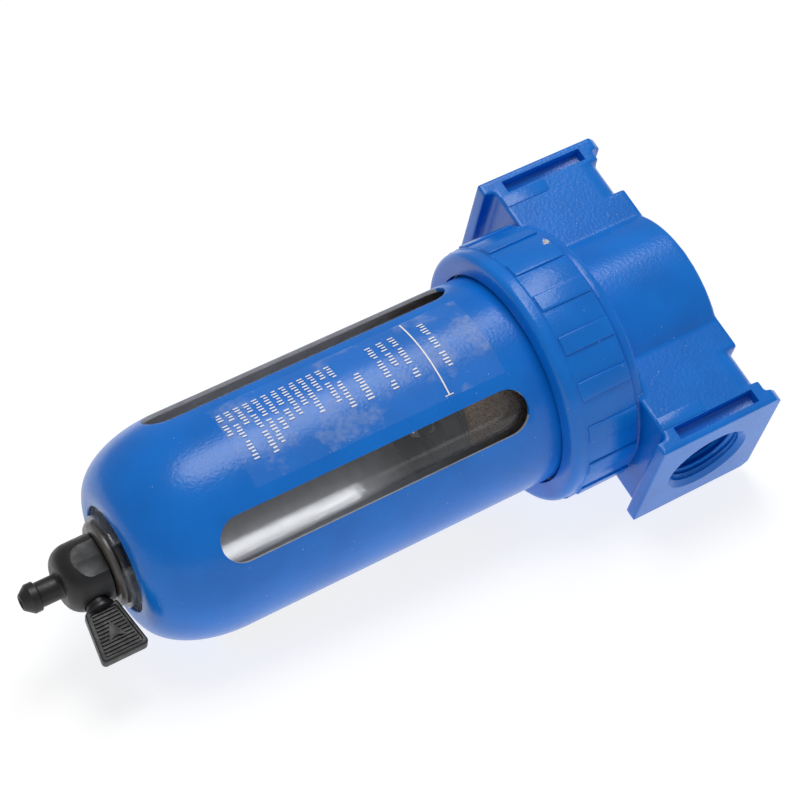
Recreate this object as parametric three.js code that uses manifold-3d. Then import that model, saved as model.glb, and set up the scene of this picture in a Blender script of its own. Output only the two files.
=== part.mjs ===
// Modular compressed air filter: a cast head with two tapped ports, a sintered
// element inside a clear bowl, a slotted metal bowl guard, a retaining ring nut
// and a quarter-turn drain cock with a hose barb.
//
// Units are millimetres. +Z runs up along the bowl axis, X is the port axis
// and -Y is the front. The origin is where the port axis meets the bowl axis.
// The threads are modelled as plain cylinders with a small radial clearance.

import * as THREE from 'three';
import { mergeVertices } from 'three/addons/utils/BufferGeometryUtils.js';
import Module from 'manifold-3d';

const wasm = await Module();
wasm.setup();

// ---------------------------------------------------------------- clearances
const GAP = 0.3; // between neighbouring pieces that seat on each other
const RUN_GAP = 0.3; // radial, between pieces that turn or slide
const OVERLAP = 0.2; // how far joined volumes of one piece run into each other
const THREAD_CLEARANCE = 0.4; // radial, between male and female thread
const GUARD_TO_RING = 0.6; // radial, between the guard and the ring nut
const BOWL_TO_GUARD = 1.8; // radial, between the bowl and the guard wall
const BOWL_TO_GUARD_FLOOR = 0.6;
const BOWL_TO_SPIGOT = 0.35; // radial, between the bowl neck and the head
const BOWL_TO_SEAT = 0.8; // above the bowl neck
const SWIRL_TO_BOWL = 1.4; // radial
const BAFFLE_TO_BOWL = 3.3; // radial passage for the water
const RING_TO_FLANGE = 5.4; // between the ring nut and the back of a port flange

// ---------------------------------------------------------------- head casting
const FLANGE_SIZE = 37.4; // height and depth of each square port flange
const FLANGE_THICKNESS = 3.6;
const FLANGE_CHAMFER = 2; // on the two upper corners of a flange
const ARM_HALF_HEIGHT = 15.5;
const ARM_CORNER_RADIUS = 5.5; // along the upper edges of an arm
const COLLAR_LENGTH = 3.4; // square rib behind each flange
const COLLAR_RISE = 0.2; // of that rib above the arm
const SHOULDER_HALF_WIDTH = 27; // block between the arms and the barrel
const HEAD_TOP = 16.4;
const HEAD_RADIUS = 26;
const HEAD_EDGE = 0.8; // chamfer around the top of the barrel
const HEAD_WALL = 4; // around the gallery
const BEAD_PROUD = 3.5; // of the rim that closes onto the ring nut
const BEAD_HEIGHT = 3.5;
const BEAD_BOTTOM = -16.9;
const SPIGOT_LENGTH = 12.1;
const SPIGOT_WALL = 3.4;
const SEAT_DEPTH = 2.7; // from the rim down to the seat inside the spigot
const POCKET_LENGTH = 24.5; // clamp pocket in a flange, along Z
const POCKET_WIDTH = 3.8;
const POCKET_DEPTH = 3.2;
const POCKET_SETBACK = 1.8; // from the port face
const PAD_RISE = 0.2; // marking pad on the front of each arm
const PAD_LENGTH = 4.2;
const PAD_TOP = -0.5;
const PAD_MARGIN = 0.6; // above the lower edge of the arm

// ---------------------------------------------------------------- ports
const PORT_THREAD_RADIUS = 9.32; // minor radius of a G 1/2 thread
const PORT_MAJOR_RADIUS = 10.48;
const PORT_SINK = 1.32; // countersink at the face
const PORT_THREAD_LENGTH = 16;
const PASSAGE_RADIUS = 8;
const GALLERY_TOP = 9; // roof of the annular space around the outlet boss
const BOSS_RADIUS = 10.5; // outlet boss that carries the element
const BOSS_PROUD = 0.4; // of the boss below the bowl seat
const BOSS_BORE = 6.2;
const WEB = 2.2; // wall around the outlet passage

// ---------------------------------------------------------------- ring nut
const RING_WALL = 4.6;
const RING_PAD_RISE = 0.5;
const RING_COLLAR_DROP = 0.3; // of the smooth collar inside the grip
const RING_COLLAR_HEIGHT = 4.2;
const RING_EDGE = 2; // rounding of the lower edge
const RING_LIP = 2.3; // thickness of the lip that carries the guard
const RING_PADS = 18;
const RING_PAD_DEG = 7.9;
const RING_PAD_PHASE_DEG = 0.9;
const THRUST_THICKNESS = 0.6;

// ---------------------------------------------------------------- bowl and guard
const BOWL_BORE = 22.8;
const BOWL_WALL = 3.2;
const BOWL_FLANGE_THICKNESS = 2.4;
const BOWL_NECK_LENGTH = 8.9;
const BOWL_CORNER_Z = 22;
const BOWL_FLOOR = 4.6;
const BOWL_BOSS_RADIUS = 12.4;
const BOWL_BOSS_PROUD = 1.6; // of the bowl boss below the guard
const GUARD_LENGTH = 116.9;
const GUARD_WALL = 1;
const GUARD_FLANGE_PROUD = 1.5;
const GUARD_CORNER_R = 12.8; // lower rounding, radial half axis
const GUARD_CORNER_Z = 23.7; // lower rounding, axial half axis
const GUARD_TO_BOSS = 1.9; // radial, around the bowl boss
const SLOT_COUNT = 4;
const SLOT_FIRST_DEG = 39.5; // from the front towards +X
const SLOT_WIDTH = 12;
const SLOT_FROM_TOP = 11.4;
const SLOT_FROM_BOTTOM = 18.5;
const ORING_SECTION = 1.2; // section radius of the bowl O-ring
const ORING_RISE = 4.9; // above the bowl flange
const LABEL_THICKNESS = 0.2;
const LABEL_STANDOFF = 0.1;
const LABEL_FROM_TOP = 14;
const LABEL_FROM_BOTTOM = 31.9;
const LABEL_FROM_DEG = -31;
const LABEL_TO_DEG = 20;

// ---------------------------------------------------------------- element stack
const ELEMENT_RADIUS = 16;
const ELEMENT_WALL = 4;
const ELEMENT_LENGTH = 31;
const SEAL_THICKNESS = 1.2;
const SEAL_WIDTH = 3;
const SWIRL_HUB_THICKNESS = 1.8;
const SWIRL_RIM = 1.2;
const SWIRL_VANES = 10;
const SWIRL_VANE_DEG = 34; // vane pitch from the horizontal
const BAFFLE_THICKNESS = 2;
const BAFFLE_SLOPE = 3.5; // width of the sloping edge
const BAFFLE_SKIRT = 7;
const BAFFLE_SKIRT_WALL = 1.4;
const STUD_RADIUS = 2.5;
const STUD_COVER = 3.2; // of metal above the stud
const STUD_NUT_RADIUS = 5;
const STUD_NUT_HEIGHT = 4;
const WASHER_THICKNESS = 0.8;

// ---------------------------------------------------------------- drain cock
const DRAIN_WASHER_RADIUS = 11.2;
const DRAIN_WASHER_THICKNESS = 1.6;
const DRAIN_RADIUS = 8.9;
const DRAIN_BARREL = 6.2; // length of the cylindrical part below the washer
const DRAIN_DOME = 5.4; // length of the domed part
const DRAIN_NECK_RADIUS = 3.25;
const DRAIN_NECK_LENGTH = 5;
const BARB_RADIUS = 3.85;
const BARB_TIP_RADIUS = 2.2;
const BARB_LENGTH = 4.9;
const DRAIN_BORE = 1.4;
const DRAIN_STEM_RADIUS = 5;
const DRAIN_FLAT_DEPTH = 0.8; // of the two wrench flats
const DRAIN_FLAT_WIDTH = 7;
const DRAIN_AXIS_DEPTH = 5.3; // axis of the quarter-turn plug below the washer
const DRAIN_ORING_SECTION = 0.8;
const DRAIN_NUT_RADIUS = 8;
const DRAIN_NUT_HEIGHT = 4;
const PLUG_RADIUS = 3;
const PLUG_BORE = 1.2;
const PLUG_REACH = 5.6; // past the bore of the cock
const PLUG_ORING_X = 5.6;
const PLUG_ORING_SECTION = 0.5;
const LEVER_STANDOFF = 1.3; // from the cock to the lever
const LEVER_LENGTH = 13.6;
const LEVER_THICKNESS = 3.4;
const LEVER_ROOT_HALF = 4.4;
const LEVER_TIP_HALF = 6.3;
const LEVER_RECESS = 0.5;
const LEVER_RIM = 1.4;
const LEVER_RIBS = 9;

// ---------------------------------------------------------------- resolution
const COARSE = 20;
const MEDIUM = 24;
const FINE = 40;

// ---------------------------------------------------------------- derived radii
const BOWL_RADIUS = BOWL_BORE + BOWL_WALL;
const GUARD_RADIUS = BOWL_RADIUS + BOWL_TO_GUARD + GUARD_WALL;
const GUARD_FLANGE_RADIUS = GUARD_RADIUS + GUARD_FLANGE_PROUD;
const GUARD_HOLE_RADIUS = BOWL_BOSS_RADIUS + GUARD_TO_BOSS;
const RING_HOLE = GUARD_RADIUS + GUARD_TO_RING;
const RING_BORE = GUARD_FLANGE_RADIUS + GUARD_TO_RING;
const RING_RADIUS = RING_BORE + RING_WALL;
const RING_PAD_RADIUS = RING_RADIUS + RING_PAD_RISE;
const RING_COLLAR_RADIUS = RING_RADIUS - RING_COLLAR_DROP;
const SPIGOT_RADIUS = RING_BORE - THREAD_CLEARANCE; // crest of the male thread
const SPIGOT_BORE = SPIGOT_RADIUS - SPIGOT_WALL;
const BEAD_RADIUS = SPIGOT_RADIUS + BEAD_PROUD;
const BOWL_NECK_RADIUS = SPIGOT_BORE - BOWL_TO_SPIGOT;
const GALLERY_RADIUS = HEAD_RADIUS - HEAD_WALL;
const SWIRL_RADIUS = BOWL_BORE - SWIRL_TO_BOWL;
const BAFFLE_RADIUS = BOWL_BORE - BAFFLE_TO_BOWL;
const STUD_HOLE = STUD_RADIUS + RUN_GAP;
const DRAIN_HOLE = DRAIN_STEM_RADIUS + GAP;
const FLANGE_HALF = FLANGE_SIZE / 2;
const FLANGE_START = RING_PAD_RADIUS + RING_TO_FLANGE;
const FACE_X = FLANGE_START + FLANGE_THICKNESS; // half the length over the ports
const LEVER_START_X = DRAIN_RADIUS + LEVER_STANDOFF;
const LEVER_END_X = LEVER_START_X + LEVER_LENGTH;

// ---------------------------------------------------------------- derived levels
const BEAD_TOP = BEAD_BOTTOM + BEAD_HEIGHT;
const SEAT_Z = BEAD_BOTTOM - SEAT_DEPTH;
const BOSS_BOTTOM = SEAT_Z - BOSS_PROUD;
const SPIGOT_BOTTOM = BEAD_BOTTOM - SPIGOT_LENGTH;
const BOWL_FLANGE_TOP = SPIGOT_BOTTOM - GAP;
const BOWL_FLANGE_BOTTOM = BOWL_FLANGE_TOP - BOWL_FLANGE_THICKNESS;
const BOWL_NECK_TOP = Math.min(BOWL_FLANGE_TOP + BOWL_NECK_LENGTH, SEAT_Z - BOWL_TO_SEAT);
const ORING_Z = BOWL_FLANGE_TOP + ORING_RISE;
const GUARD_TOP = BOWL_FLANGE_BOTTOM - GAP;
const GUARD_BOTTOM = GUARD_TOP - GUARD_LENGTH;
const THRUST_TOP = GUARD_TOP - GUARD_WALL - GAP;
const RING_TOP = BEAD_BOTTOM - GAP;
const RING_LIP_TOP = THRUST_TOP - THRUST_THICKNESS - GAP;
const RING_BOTTOM = RING_LIP_TOP - RING_LIP;
const RING_GRIP_END = RING_BOTTOM + RING_COLLAR_HEIGHT;
const SLOT_TOP = GUARD_TOP - SLOT_FROM_TOP;
const SLOT_BOTTOM = GUARD_BOTTOM + SLOT_FROM_BOTTOM;
const LABEL_TOP = GUARD_TOP - LABEL_FROM_TOP;
const LABEL_BOTTOM = GUARD_BOTTOM + LABEL_FROM_BOTTOM;
const BOWL_BOTTOM = GUARD_BOTTOM + GUARD_WALL + BOWL_TO_GUARD_FLOOR;
const BOWL_FLOOR_TOP = BOWL_BOTTOM + BOWL_FLOOR;
const BOWL_BOSS_BOTTOM = GUARD_BOTTOM - BOWL_BOSS_PROUD;
const SWIRL_TOP = BOSS_BOTTOM - GAP;
const SEAL_TOP = SWIRL_TOP - SWIRL_HUB_THICKNESS - GAP;
const ELEMENT_TOP = SEAL_TOP - SEAL_THICKNESS - GAP;
const ELEMENT_BOTTOM = ELEMENT_TOP - ELEMENT_LENGTH;
const LOWER_SEAL_TOP = ELEMENT_BOTTOM - GAP;
const BAFFLE_TOP = LOWER_SEAL_TOP - SEAL_THICKNESS - GAP;
const STUD_WASHER_TOP = BAFFLE_TOP - BAFFLE_THICKNESS - GAP;
const STUD_NUT_TOP = STUD_WASHER_TOP - WASHER_THICKNESS - GAP;
const STUD_TOP = HEAD_TOP - STUD_COVER;
const STUD_BOTTOM = STUD_NUT_TOP - STUD_NUT_HEIGHT - 2;
const DRAIN_WASHER_TOP = BOWL_BOSS_BOTTOM - GAP;
const DRAIN_TOP = DRAIN_WASHER_TOP - DRAIN_WASHER_THICKNESS - GAP;
const DRAIN_DOME_TOP = DRAIN_TOP - DRAIN_BARREL;
const DRAIN_DOME_BOTTOM = DRAIN_DOME_TOP - DRAIN_DOME;
const DRAIN_NECK_BOTTOM = DRAIN_DOME_BOTTOM - DRAIN_NECK_LENGTH;
const BARB_BOTTOM = DRAIN_NECK_BOTTOM - BARB_LENGTH;
const DRAIN_AXIS_Z = DRAIN_TOP - DRAIN_AXIS_DEPTH;
const DRAIN_GASKET_TOP = BOWL_FLOOR_TOP + GAP + SEAL_THICKNESS;
const DRAIN_NUT_BOTTOM = DRAIN_GASKET_TOP + GAP;
const DRAIN_STEM_TOP = DRAIN_NUT_BOTTOM + DRAIN_NUT_HEIGHT - 0.6;
const DRAIN_GROOVE_Z = (BOWL_BOSS_BOTTOM + BOWL_FLOOR_TOP) / 2;

// ---------------------------------------------------------------- helpers
const rad = (deg) => (deg * Math.PI) / 180;

// Closed triangle list of a geometry, with shared corners joined.
function cleanTriangles(geometry) {
  const bare = geometry.clone();
  bare.deleteAttribute('normal');
  bare.deleteAttribute('uv');
  const merged = mergeVertices(bare, 1e-4);
  const index = merged.index.array;
  const triangles = [];
  for (let i = 0; i < index.length; i += 3) {
    const [a, b, c] = [index[i], index[i + 1], index[i + 2]];
    if (a !== b && b !== c && c !== a) triangles.push(a, b, c);
  }
  return { positions: merged.attributes.position.array, triangles };
}

// Six times the signed volume, used only for its sign.
function signedVolume(positions, triangles) {
  let total = 0;
  const a = new THREE.Vector3();
  const b = new THREE.Vector3();
  const c = new THREE.Vector3();
  for (let i = 0; i < triangles.length; i += 3) {
    a.fromArray(positions, 3 * triangles[i]);
    b.fromArray(positions, 3 * triangles[i + 1]);
    c.fromArray(positions, 3 * triangles[i + 2]);
    total += a.dot(b.cross(c));
  }
  return total;
}

// A boolean solid from a closed three.js geometry, faces outward.
function solid(geometry) {
  const { positions, triangles } = cleanTriangles(geometry);
  if (signedVolume(positions, triangles) < 0) {
    for (let i = 0; i < triangles.length; i += 3) {
      [triangles[i + 1], triangles[i + 2]] = [triangles[i + 2], triangles[i + 1]];
    }
  }
  return new wasm.Manifold(new wasm.Mesh({
    numProp: 3,
    vertProperties: Float32Array.from(positions),
    triVerts: Uint32Array.from(triangles),
  }));
}

// Geometry of a finished boolean solid.
function geometryOf(body) {
  const mesh = body.getMesh();
  const geometry = new THREE.BufferGeometry();
  geometry.setAttribute('position', new THREE.BufferAttribute(mesh.vertProperties, 3));
  geometry.setIndex(new THREE.BufferAttribute(mesh.triVerts, 1));
  return geometry;
}

// The same solid reflected left to right.
const mirroredX = (body) => solid(geometryOf(body).scale(-1, 1, 1));

const union = (first, ...rest) => rest.reduce((sum, part) => sum.add(part), first);
const cut = (first, ...rest) => rest.reduce((left, part) => left.subtract(part), first);

// Ring or disc turned about Z from a closed outline of [radius, z] points.
function turned(outline, segments) {
  const points = outline.map(([r, z]) => new THREE.Vector2(r, z));
  points.push(points[0].clone());
  const geometry = new THREE.LatheGeometry(points, segments);
  geometry.rotateX(Math.PI / 2);
  return solid(geometry);
}

// Plain tube or disc about Z between two levels.
function tube(outer, inner, bottom, top, segments) {
  return turned([[inner, bottom], [outer, bottom], [outer, top], [inner, top]], segments);
}

// The same about an axis along X: a closed outline of [radius, x] points.
function turnedX(outline, segments, level = 0) {
  const points = outline.map(([r, x]) => new THREE.Vector2(r, x));
  points.push(points[0].clone());
  const geometry = new THREE.LatheGeometry(points, segments);
  geometry.rotateZ(-Math.PI / 2);
  geometry.translate(0, 0, level);
  return solid(geometry);
}

function tubeX(outer, inner, from, to, segments, level = 0) {
  return turnedX([[inner, from], [outer, from], [outer, to], [inner, to]], segments, level);
}

function box(x0, x1, y0, y1, z0, z1) {
  const geometry = new THREE.BoxGeometry(x1 - x0, y1 - y0, z1 - z0);
  geometry.translate((x0 + x1) / 2, (y0 + y1) / 2, (z0 + z1) / 2);
  return solid(geometry);
}

// Outline given as [y, z] points, extruded along X.
function extrudedX(outline, from, to) {
  const shape = new THREE.Shape(outline.map(([y, z]) => new THREE.Vector2(y, z)));
  const geometry = new THREE.ExtrudeGeometry(shape, { depth: to - from, bevelEnabled: false });
  geometry.applyMatrix4(new THREE.Matrix4().set(0, 0, 1, from, 1, 0, 0, 0, 0, 1, 0, 0, 0, 0, 0, 1));
  return solid(geometry);
}

// Outline given as [x, y] points, extruded along Z.
function extrudedZ(outline, bottom, top) {
  const shape = new THREE.Shape(outline.map(([x, y]) => new THREE.Vector2(x, y)));
  const geometry = new THREE.ExtrudeGeometry(shape, { depth: top - bottom, bevelEnabled: false });
  geometry.translate(0, 0, bottom);
  return solid(geometry);
}

// Outline given as [x, z] points, extruded along Y and then turned about Z.
function extrudedY(outline, from, to, turnDeg = 0) {
  const shape = new THREE.Shape(outline.map(([x, z]) => new THREE.Vector2(x, z)));
  const geometry = new THREE.ExtrudeGeometry(shape, { depth: to - from, bevelEnabled: false });
  geometry.rotateX(Math.PI / 2);
  geometry.translate(0, to, 0);
  geometry.rotateZ(rad(turnDeg));
  return solid(geometry);
}

// Points on an elliptic arc about (cx, cy), both ends included.
function arc(cx, cy, rx, ry, fromDeg, toDeg, steps) {
  return Array.from({ length: steps + 1 }, (_, i) => {
    const t = rad(fromDeg + ((toDeg - fromDeg) * i) / steps);
    return [cx + rx * Math.cos(t), cy + ry * Math.sin(t)];
  });
}

// Ring of circular section about Z.
function torusRing(radius, section, z) {
  const geometry = new THREE.TorusGeometry(radius, section, 6, MEDIUM);
  geometry.translate(0, 0, z);
  return solid(geometry);
}

function hexagon(acrossCorners) {
  return Array.from({ length: 6 }, (_, i) => {
    const t = rad(60 * i);
    return [(acrossCorners / 2) * Math.cos(t), (acrossCorners / 2) * Math.sin(t)];
  });
}

function finish(color, roughness, metalness, opacity = 1) {
  return new THREE.MeshStandardMaterial({
    color, roughness, metalness, opacity, transparent: opacity < 1,
  });
}

function piece(name, body, material) {
  const geometry = geometryOf(body);
  geometry.computeVertexNormals();
  const result = new THREE.Mesh(geometry, material);
  result.name = name;
  return result;
}

const paint = () => finish(0x1060c8, 0.25, 0.2);
const blackPlastic = () => finish(0x1c1d20, 0.55, 0);
const darkRubber = () => finish(0x141416, 0.8, 0);
const steel = () => finish(0xb9bcc0, 0.35, 0.9);
const clear = (opacity) => finish(0xdfe6ea, 0.1, 0, opacity);

// ---------------------------------------------------------------- head casting
function flangeOutline() {
  const h = FLANGE_HALF;
  const c = FLANGE_CHAMFER;
  return [[-h, -h], [h, -h], [h, h - c], [h - c, h], [-h + c, h], [-h, h - c]];
}

function armOutline() {
  const h = FLANGE_HALF;
  const r = ARM_CORNER_RADIUS;
  const top = ARM_HALF_HEIGHT;
  return [
    [-h, -top], [h, -top],
    ...arc(h - r, top - r, r, r, 0, 90, 4),
    ...arc(-h + r, top - r, r, r, 90, 180, 4),
  ];
}

// One side of the head, built towards +X: arm, collar rib, flange and marking pad.
function headSide() {
  const end = FLANGE_START + OVERLAP;
  const h = FLANGE_HALF;
  const arm = extrudedX(armOutline(), 0, end);
  const collar = box(
    FLANGE_START - COLLAR_LENGTH, end, -h, h, -ARM_HALF_HEIGHT, ARM_HALF_HEIGHT + COLLAR_RISE,
  );
  const flange = extrudedX(flangeOutline(), FLANGE_START, FACE_X);
  const pocketEnd = FACE_X - POCKET_SETBACK;
  const padEnd = pocketEnd - POCKET_WIDTH;
  const pad = box(
    padEnd - PAD_LENGTH, padEnd, -h - PAD_RISE, -h + OVERLAP,
    -ARM_HALF_HEIGHT + PAD_MARGIN, PAD_TOP,
  );
  return union(arm, collar, flange, pad);
}

// Clamp pockets in the front and back of one flange, towards +X.
function clampPockets() {
  const pocketEnd = FACE_X - POCKET_SETBACK;
  const h = FLANGE_HALF;
  const half = POCKET_LENGTH / 2;
  const front = box(pocketEnd - POCKET_WIDTH, pocketEnd, -h - 1, -h + POCKET_DEPTH, -half, half);
  const back = box(pocketEnd - POCKET_WIDTH, pocketEnd, h - POCKET_DEPTH, h + 1, -half, half);
  return union(front, back);
}

// Tapped hole with its countersink and the passage behind it, towards +X.
function portHole(passageStart) {
  const threadStart = FACE_X - PORT_THREAD_LENGTH;
  const mouth = PORT_MAJOR_RADIUS + PORT_SINK;
  return turnedX([
    [0, passageStart], [PASSAGE_RADIUS, passageStart], [PASSAGE_RADIUS, threadStart],
    [PORT_THREAD_RADIUS, threadStart], [PORT_THREAD_RADIUS, FACE_X - PORT_SINK - 1],
    [PORT_MAJOR_RADIUS, FACE_X - PORT_SINK], [mouth, FACE_X],
    [mouth, FACE_X + 1], [0, FACE_X + 1],
  ], MEDIUM);
}

function headBarrel() {
  const edge = HEAD_EDGE;
  const barrel = turned([
    [0, BEAD_BOTTOM], [HEAD_RADIUS, BEAD_BOTTOM], [HEAD_RADIUS, HEAD_TOP - edge],
    [HEAD_RADIUS - edge, HEAD_TOP], [0, HEAD_TOP],
  ], FINE);
  const bead = turned([
    [0, BEAD_BOTTOM], [BEAD_RADIUS - 0.6, BEAD_BOTTOM], [BEAD_RADIUS, BEAD_BOTTOM + 0.6],
    [BEAD_RADIUS, BEAD_TOP - 1], [BEAD_RADIUS - 1, BEAD_TOP], [0, BEAD_TOP],
  ], FINE);
  const spigot = tube(SPIGOT_RADIUS, 0, SPIGOT_BOTTOM, BEAD_BOTTOM + OVERLAP, FINE);
  const w = SHOULDER_HALF_WIDTH;
  const shoulder = box(-w, w, -FLANGE_HALF, FLANGE_HALF, -ARM_HALF_HEIGHT, HEAD_TOP);
  return union(barrel, bead, spigot, shoulder);
}

// Annular gallery, less the outlet boss and the wall around the outlet passage.
function gallery() {
  const space = tube(GALLERY_RADIUS, BOSS_RADIUS, SEAT_Z - OVERLAP, GALLERY_TOP, FINE);
  const wall = tubeX(PASSAGE_RADIUS + WEB, 0, 0, HEAD_RADIUS, MEDIUM);
  return cut(space, wall);
}

function filterHead() {
  const side = headSide();
  const blank = union(headBarrel(), side, mirroredX(side));
  const bowlSeat = tube(SPIGOT_BORE, BOSS_RADIUS, SPIGOT_BOTTOM - 1, SEAT_Z, FINE);
  const belowBoss = tube(SPIGOT_BORE - 1, 0, SPIGOT_BOTTOM - 1, BOSS_BOTTOM, FINE);
  const inlet = mirroredX(portHole(BOSS_RADIUS + 1));
  const outlet = portHole(0);
  const centre = tube(BOSS_BORE, 0, BOSS_BOTTOM - 1, 0, COARSE);
  const studHole = tube(STUD_HOLE, 0, 0, STUD_TOP + GAP, COARSE);
  const pockets = clampPockets();
  return cut(
    blank, gallery(), bowlSeat, belowBoss, inlet, outlet, centre, studHole,
    pockets, mirroredX(pockets),
  );
}

// ---------------------------------------------------------------- ring nut
function retainingRing() {
  const pitch = 360 / RING_PADS;
  const half = RING_PAD_DEG / 2;
  const grip = [];
  for (let i = 0; i < RING_PADS; i += 1) {
    const mid = i * pitch + RING_PAD_PHASE_DEG - 90;
    const next = mid + pitch - half;
    grip.push(...arc(0, 0, RING_PAD_RADIUS, RING_PAD_RADIUS, mid - half, mid + half, 2));
    grip.push(...arc(0, 0, RING_RADIUS, RING_RADIUS, mid + half, next, 2));
  }
  const r = RING_COLLAR_RADIUS;
  const e = RING_EDGE;
  const collar = turned([
    [0, RING_GRIP_END + OVERLAP], [0, RING_BOTTOM],
    ...arc(r - e, RING_BOTTOM + e, e, e, -90, 0, 4),
    [r, RING_GRIP_END + OVERLAP],
  ], FINE);
  const blank = union(extrudedZ(grip, RING_GRIP_END, RING_TOP), collar);
  const thread = tube(RING_BORE, 0, RING_LIP_TOP, RING_TOP + 1, FINE);
  const hole = tube(RING_HOLE, 0, RING_BOTTOM - 1, RING_LIP_TOP + 1, FINE);
  return cut(blank, thread, hole);
}

function thrustWasher() {
  return tube(GUARD_FLANGE_RADIUS, RING_HOLE, THRUST_TOP - THRUST_THICKNESS, THRUST_TOP, MEDIUM);
}

// ---------------------------------------------------------------- guard and bowl
// Stadium-shaped cutter that runs outward through the guard wall.
function slotCutter(angleDeg) {
  const r = SLOT_WIDTH / 2;
  const outline = [
    ...arc(0, SLOT_TOP - r, r, r, 0, 180, 8),
    ...arc(0, SLOT_BOTTOM + r, r, r, 180, 360, 8),
  ];
  return extrudedY(outline, -GUARD_RADIUS - 3, -GUARD_RADIUS + 5, angleDeg);
}

function bowlGuard() {
  const R = GUARD_RADIUS;
  const w = GUARD_WALL;
  const cz = GUARD_BOTTOM + GUARD_CORNER_Z;
  const cr = R - GUARD_CORNER_R;
  const outer = arc(cr, cz, GUARD_CORNER_R, GUARD_CORNER_Z, 0, -90, 6);
  const inner = arc(cr, cz, GUARD_CORNER_R - w, GUARD_CORNER_Z - w, -90, 0, 6);
  const shell = turned([
    [R - w, GUARD_TOP], [GUARD_FLANGE_RADIUS, GUARD_TOP], [GUARD_FLANGE_RADIUS, GUARD_TOP - w],
    [R, GUARD_TOP - w], ...outer, [GUARD_HOLE_RADIUS, GUARD_BOTTOM],
    [GUARD_HOLE_RADIUS, GUARD_BOTTOM + w], ...inner,
  ], FINE);
  const slots = [];
  for (let i = 0; i < SLOT_COUNT; i += 1) {
    slots.push(slotCutter(SLOT_FIRST_DEG + (360 / SLOT_COUNT) * i));
  }
  return cut(shell, ...slots);
}

function bowl() {
  const R = BOWL_RADIUS;
  const cz = BOWL_BOTTOM + BOWL_CORNER_Z;
  const rise = R - BOWL_BOSS_RADIUS - 1.6;
  const outer = arc(R - rise, cz, rise, BOWL_CORNER_Z, 0, -90, 5);
  const inRise = rise - 2;
  const inner = arc(BOWL_BORE - inRise, cz, inRise, cz - BOWL_FLOOR_TOP, -90, 0, 5);
  const groove = ORING_SECTION + 0.4;
  const grooveFloor = BOWL_NECK_RADIUS - 2 * ORING_SECTION - 0.35;
  return turned([
    [BOWL_BORE, BOWL_NECK_TOP], [BOWL_NECK_RADIUS, BOWL_NECK_TOP],
    [BOWL_NECK_RADIUS, ORING_Z + groove], [grooveFloor, ORING_Z + groove],
    [grooveFloor, ORING_Z - groove], [BOWL_NECK_RADIUS, ORING_Z - groove],
    [BOWL_NECK_RADIUS, BOWL_FLANGE_TOP], [GUARD_FLANGE_RADIUS, BOWL_FLANGE_TOP],
    [GUARD_FLANGE_RADIUS, BOWL_FLANGE_BOTTOM], [R, BOWL_FLANGE_BOTTOM],
    ...outer,
    [BOWL_BOSS_RADIUS, BOWL_BOTTOM], [BOWL_BOSS_RADIUS, BOWL_BOSS_BOTTOM],
    [DRAIN_HOLE, BOWL_BOSS_BOTTOM], [DRAIN_HOLE, BOWL_FLOOR_TOP],
    ...inner,
  ], FINE);
}

function bowlOring() {
  return torusRing(BOWL_NECK_RADIUS - ORING_SECTION, ORING_SECTION, ORING_Z);
}

// Thin decal wrapped part of the way round the guard.
function guardLabel() {
  const inside = GUARD_RADIUS + LABEL_STANDOFF;
  const outside = inside + LABEL_THICKNESS;
  const from = LABEL_FROM_DEG - 90;
  const to = LABEL_TO_DEG - 90;
  const outline = [
    ...arc(0, 0, outside, outside, from, to, 10),
    ...arc(0, 0, inside, inside, to, from, 10),
  ];
  return extrudedZ(outline, LABEL_BOTTOM, LABEL_TOP);
}

// ---------------------------------------------------------------- element stack
// Disc around the boss bore, with pitched vanes standing out to the bowl wall.
function swirlDeflector() {
  const hub = tube(BOSS_RADIUS, BOSS_BORE, SWIRL_TOP - SWIRL_HUB_THICKNESS, SWIRL_TOP, MEDIUM);
  const ringInner = SWIRL_RADIUS - SWIRL_RIM;
  const bottom = SWIRL_TOP - SWIRL_HUB_THICKNESS;
  const rim = tube(SWIRL_RADIUS, ringInner, bottom - 2.4, SWIRL_TOP, MEDIUM);
  const vanes = [];
  for (let i = 0; i < SWIRL_VANES; i += 1) {
    const vane = new THREE.BoxGeometry(ringInner - BOSS_RADIUS + 1.6, 4.2, 0.8);
    vane.rotateX(rad(SWIRL_VANE_DEG));
    vane.translate((ringInner + BOSS_RADIUS) / 2, 0, SWIRL_TOP - SWIRL_HUB_THICKNESS / 2 - 0.6);
    vane.rotateZ((i * 2 * Math.PI) / SWIRL_VANES);
    vanes.push(solid(vane));
  }
  return union(hub, rim, ...vanes);
}

// Lower seal: it closes between the open end of the element and the baffle.
function lowerSeal() {
  const inner = ELEMENT_RADIUS - ELEMENT_WALL + 0.5;
  return tube(inner + SEAL_WIDTH, inner, LOWER_SEAL_TOP - SEAL_THICKNESS, LOWER_SEAL_TOP, MEDIUM);
}

// Upper seal: it closes between the vane hub and the end of the element.
function upperSeal() {
  return tube(BOSS_RADIUS - 1.5, BOSS_BORE, SEAL_TOP - SEAL_THICKNESS, SEAL_TOP, MEDIUM);
}

// Sintered cup: open below, with a drilled end plate above.
function filterElement() {
  const inner = ELEMENT_RADIUS - ELEMENT_WALL;
  const edge = 0.6;
  return turned([
    [BOSS_BORE, ELEMENT_TOP], [ELEMENT_RADIUS - edge, ELEMENT_TOP],
    [ELEMENT_RADIUS, ELEMENT_TOP - edge], [ELEMENT_RADIUS, ELEMENT_BOTTOM],
    [inner, ELEMENT_BOTTOM], [inner, ELEMENT_TOP - ELEMENT_WALL],
    [BOSS_BORE, ELEMENT_TOP - ELEMENT_WALL],
  ], MEDIUM);
}

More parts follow.
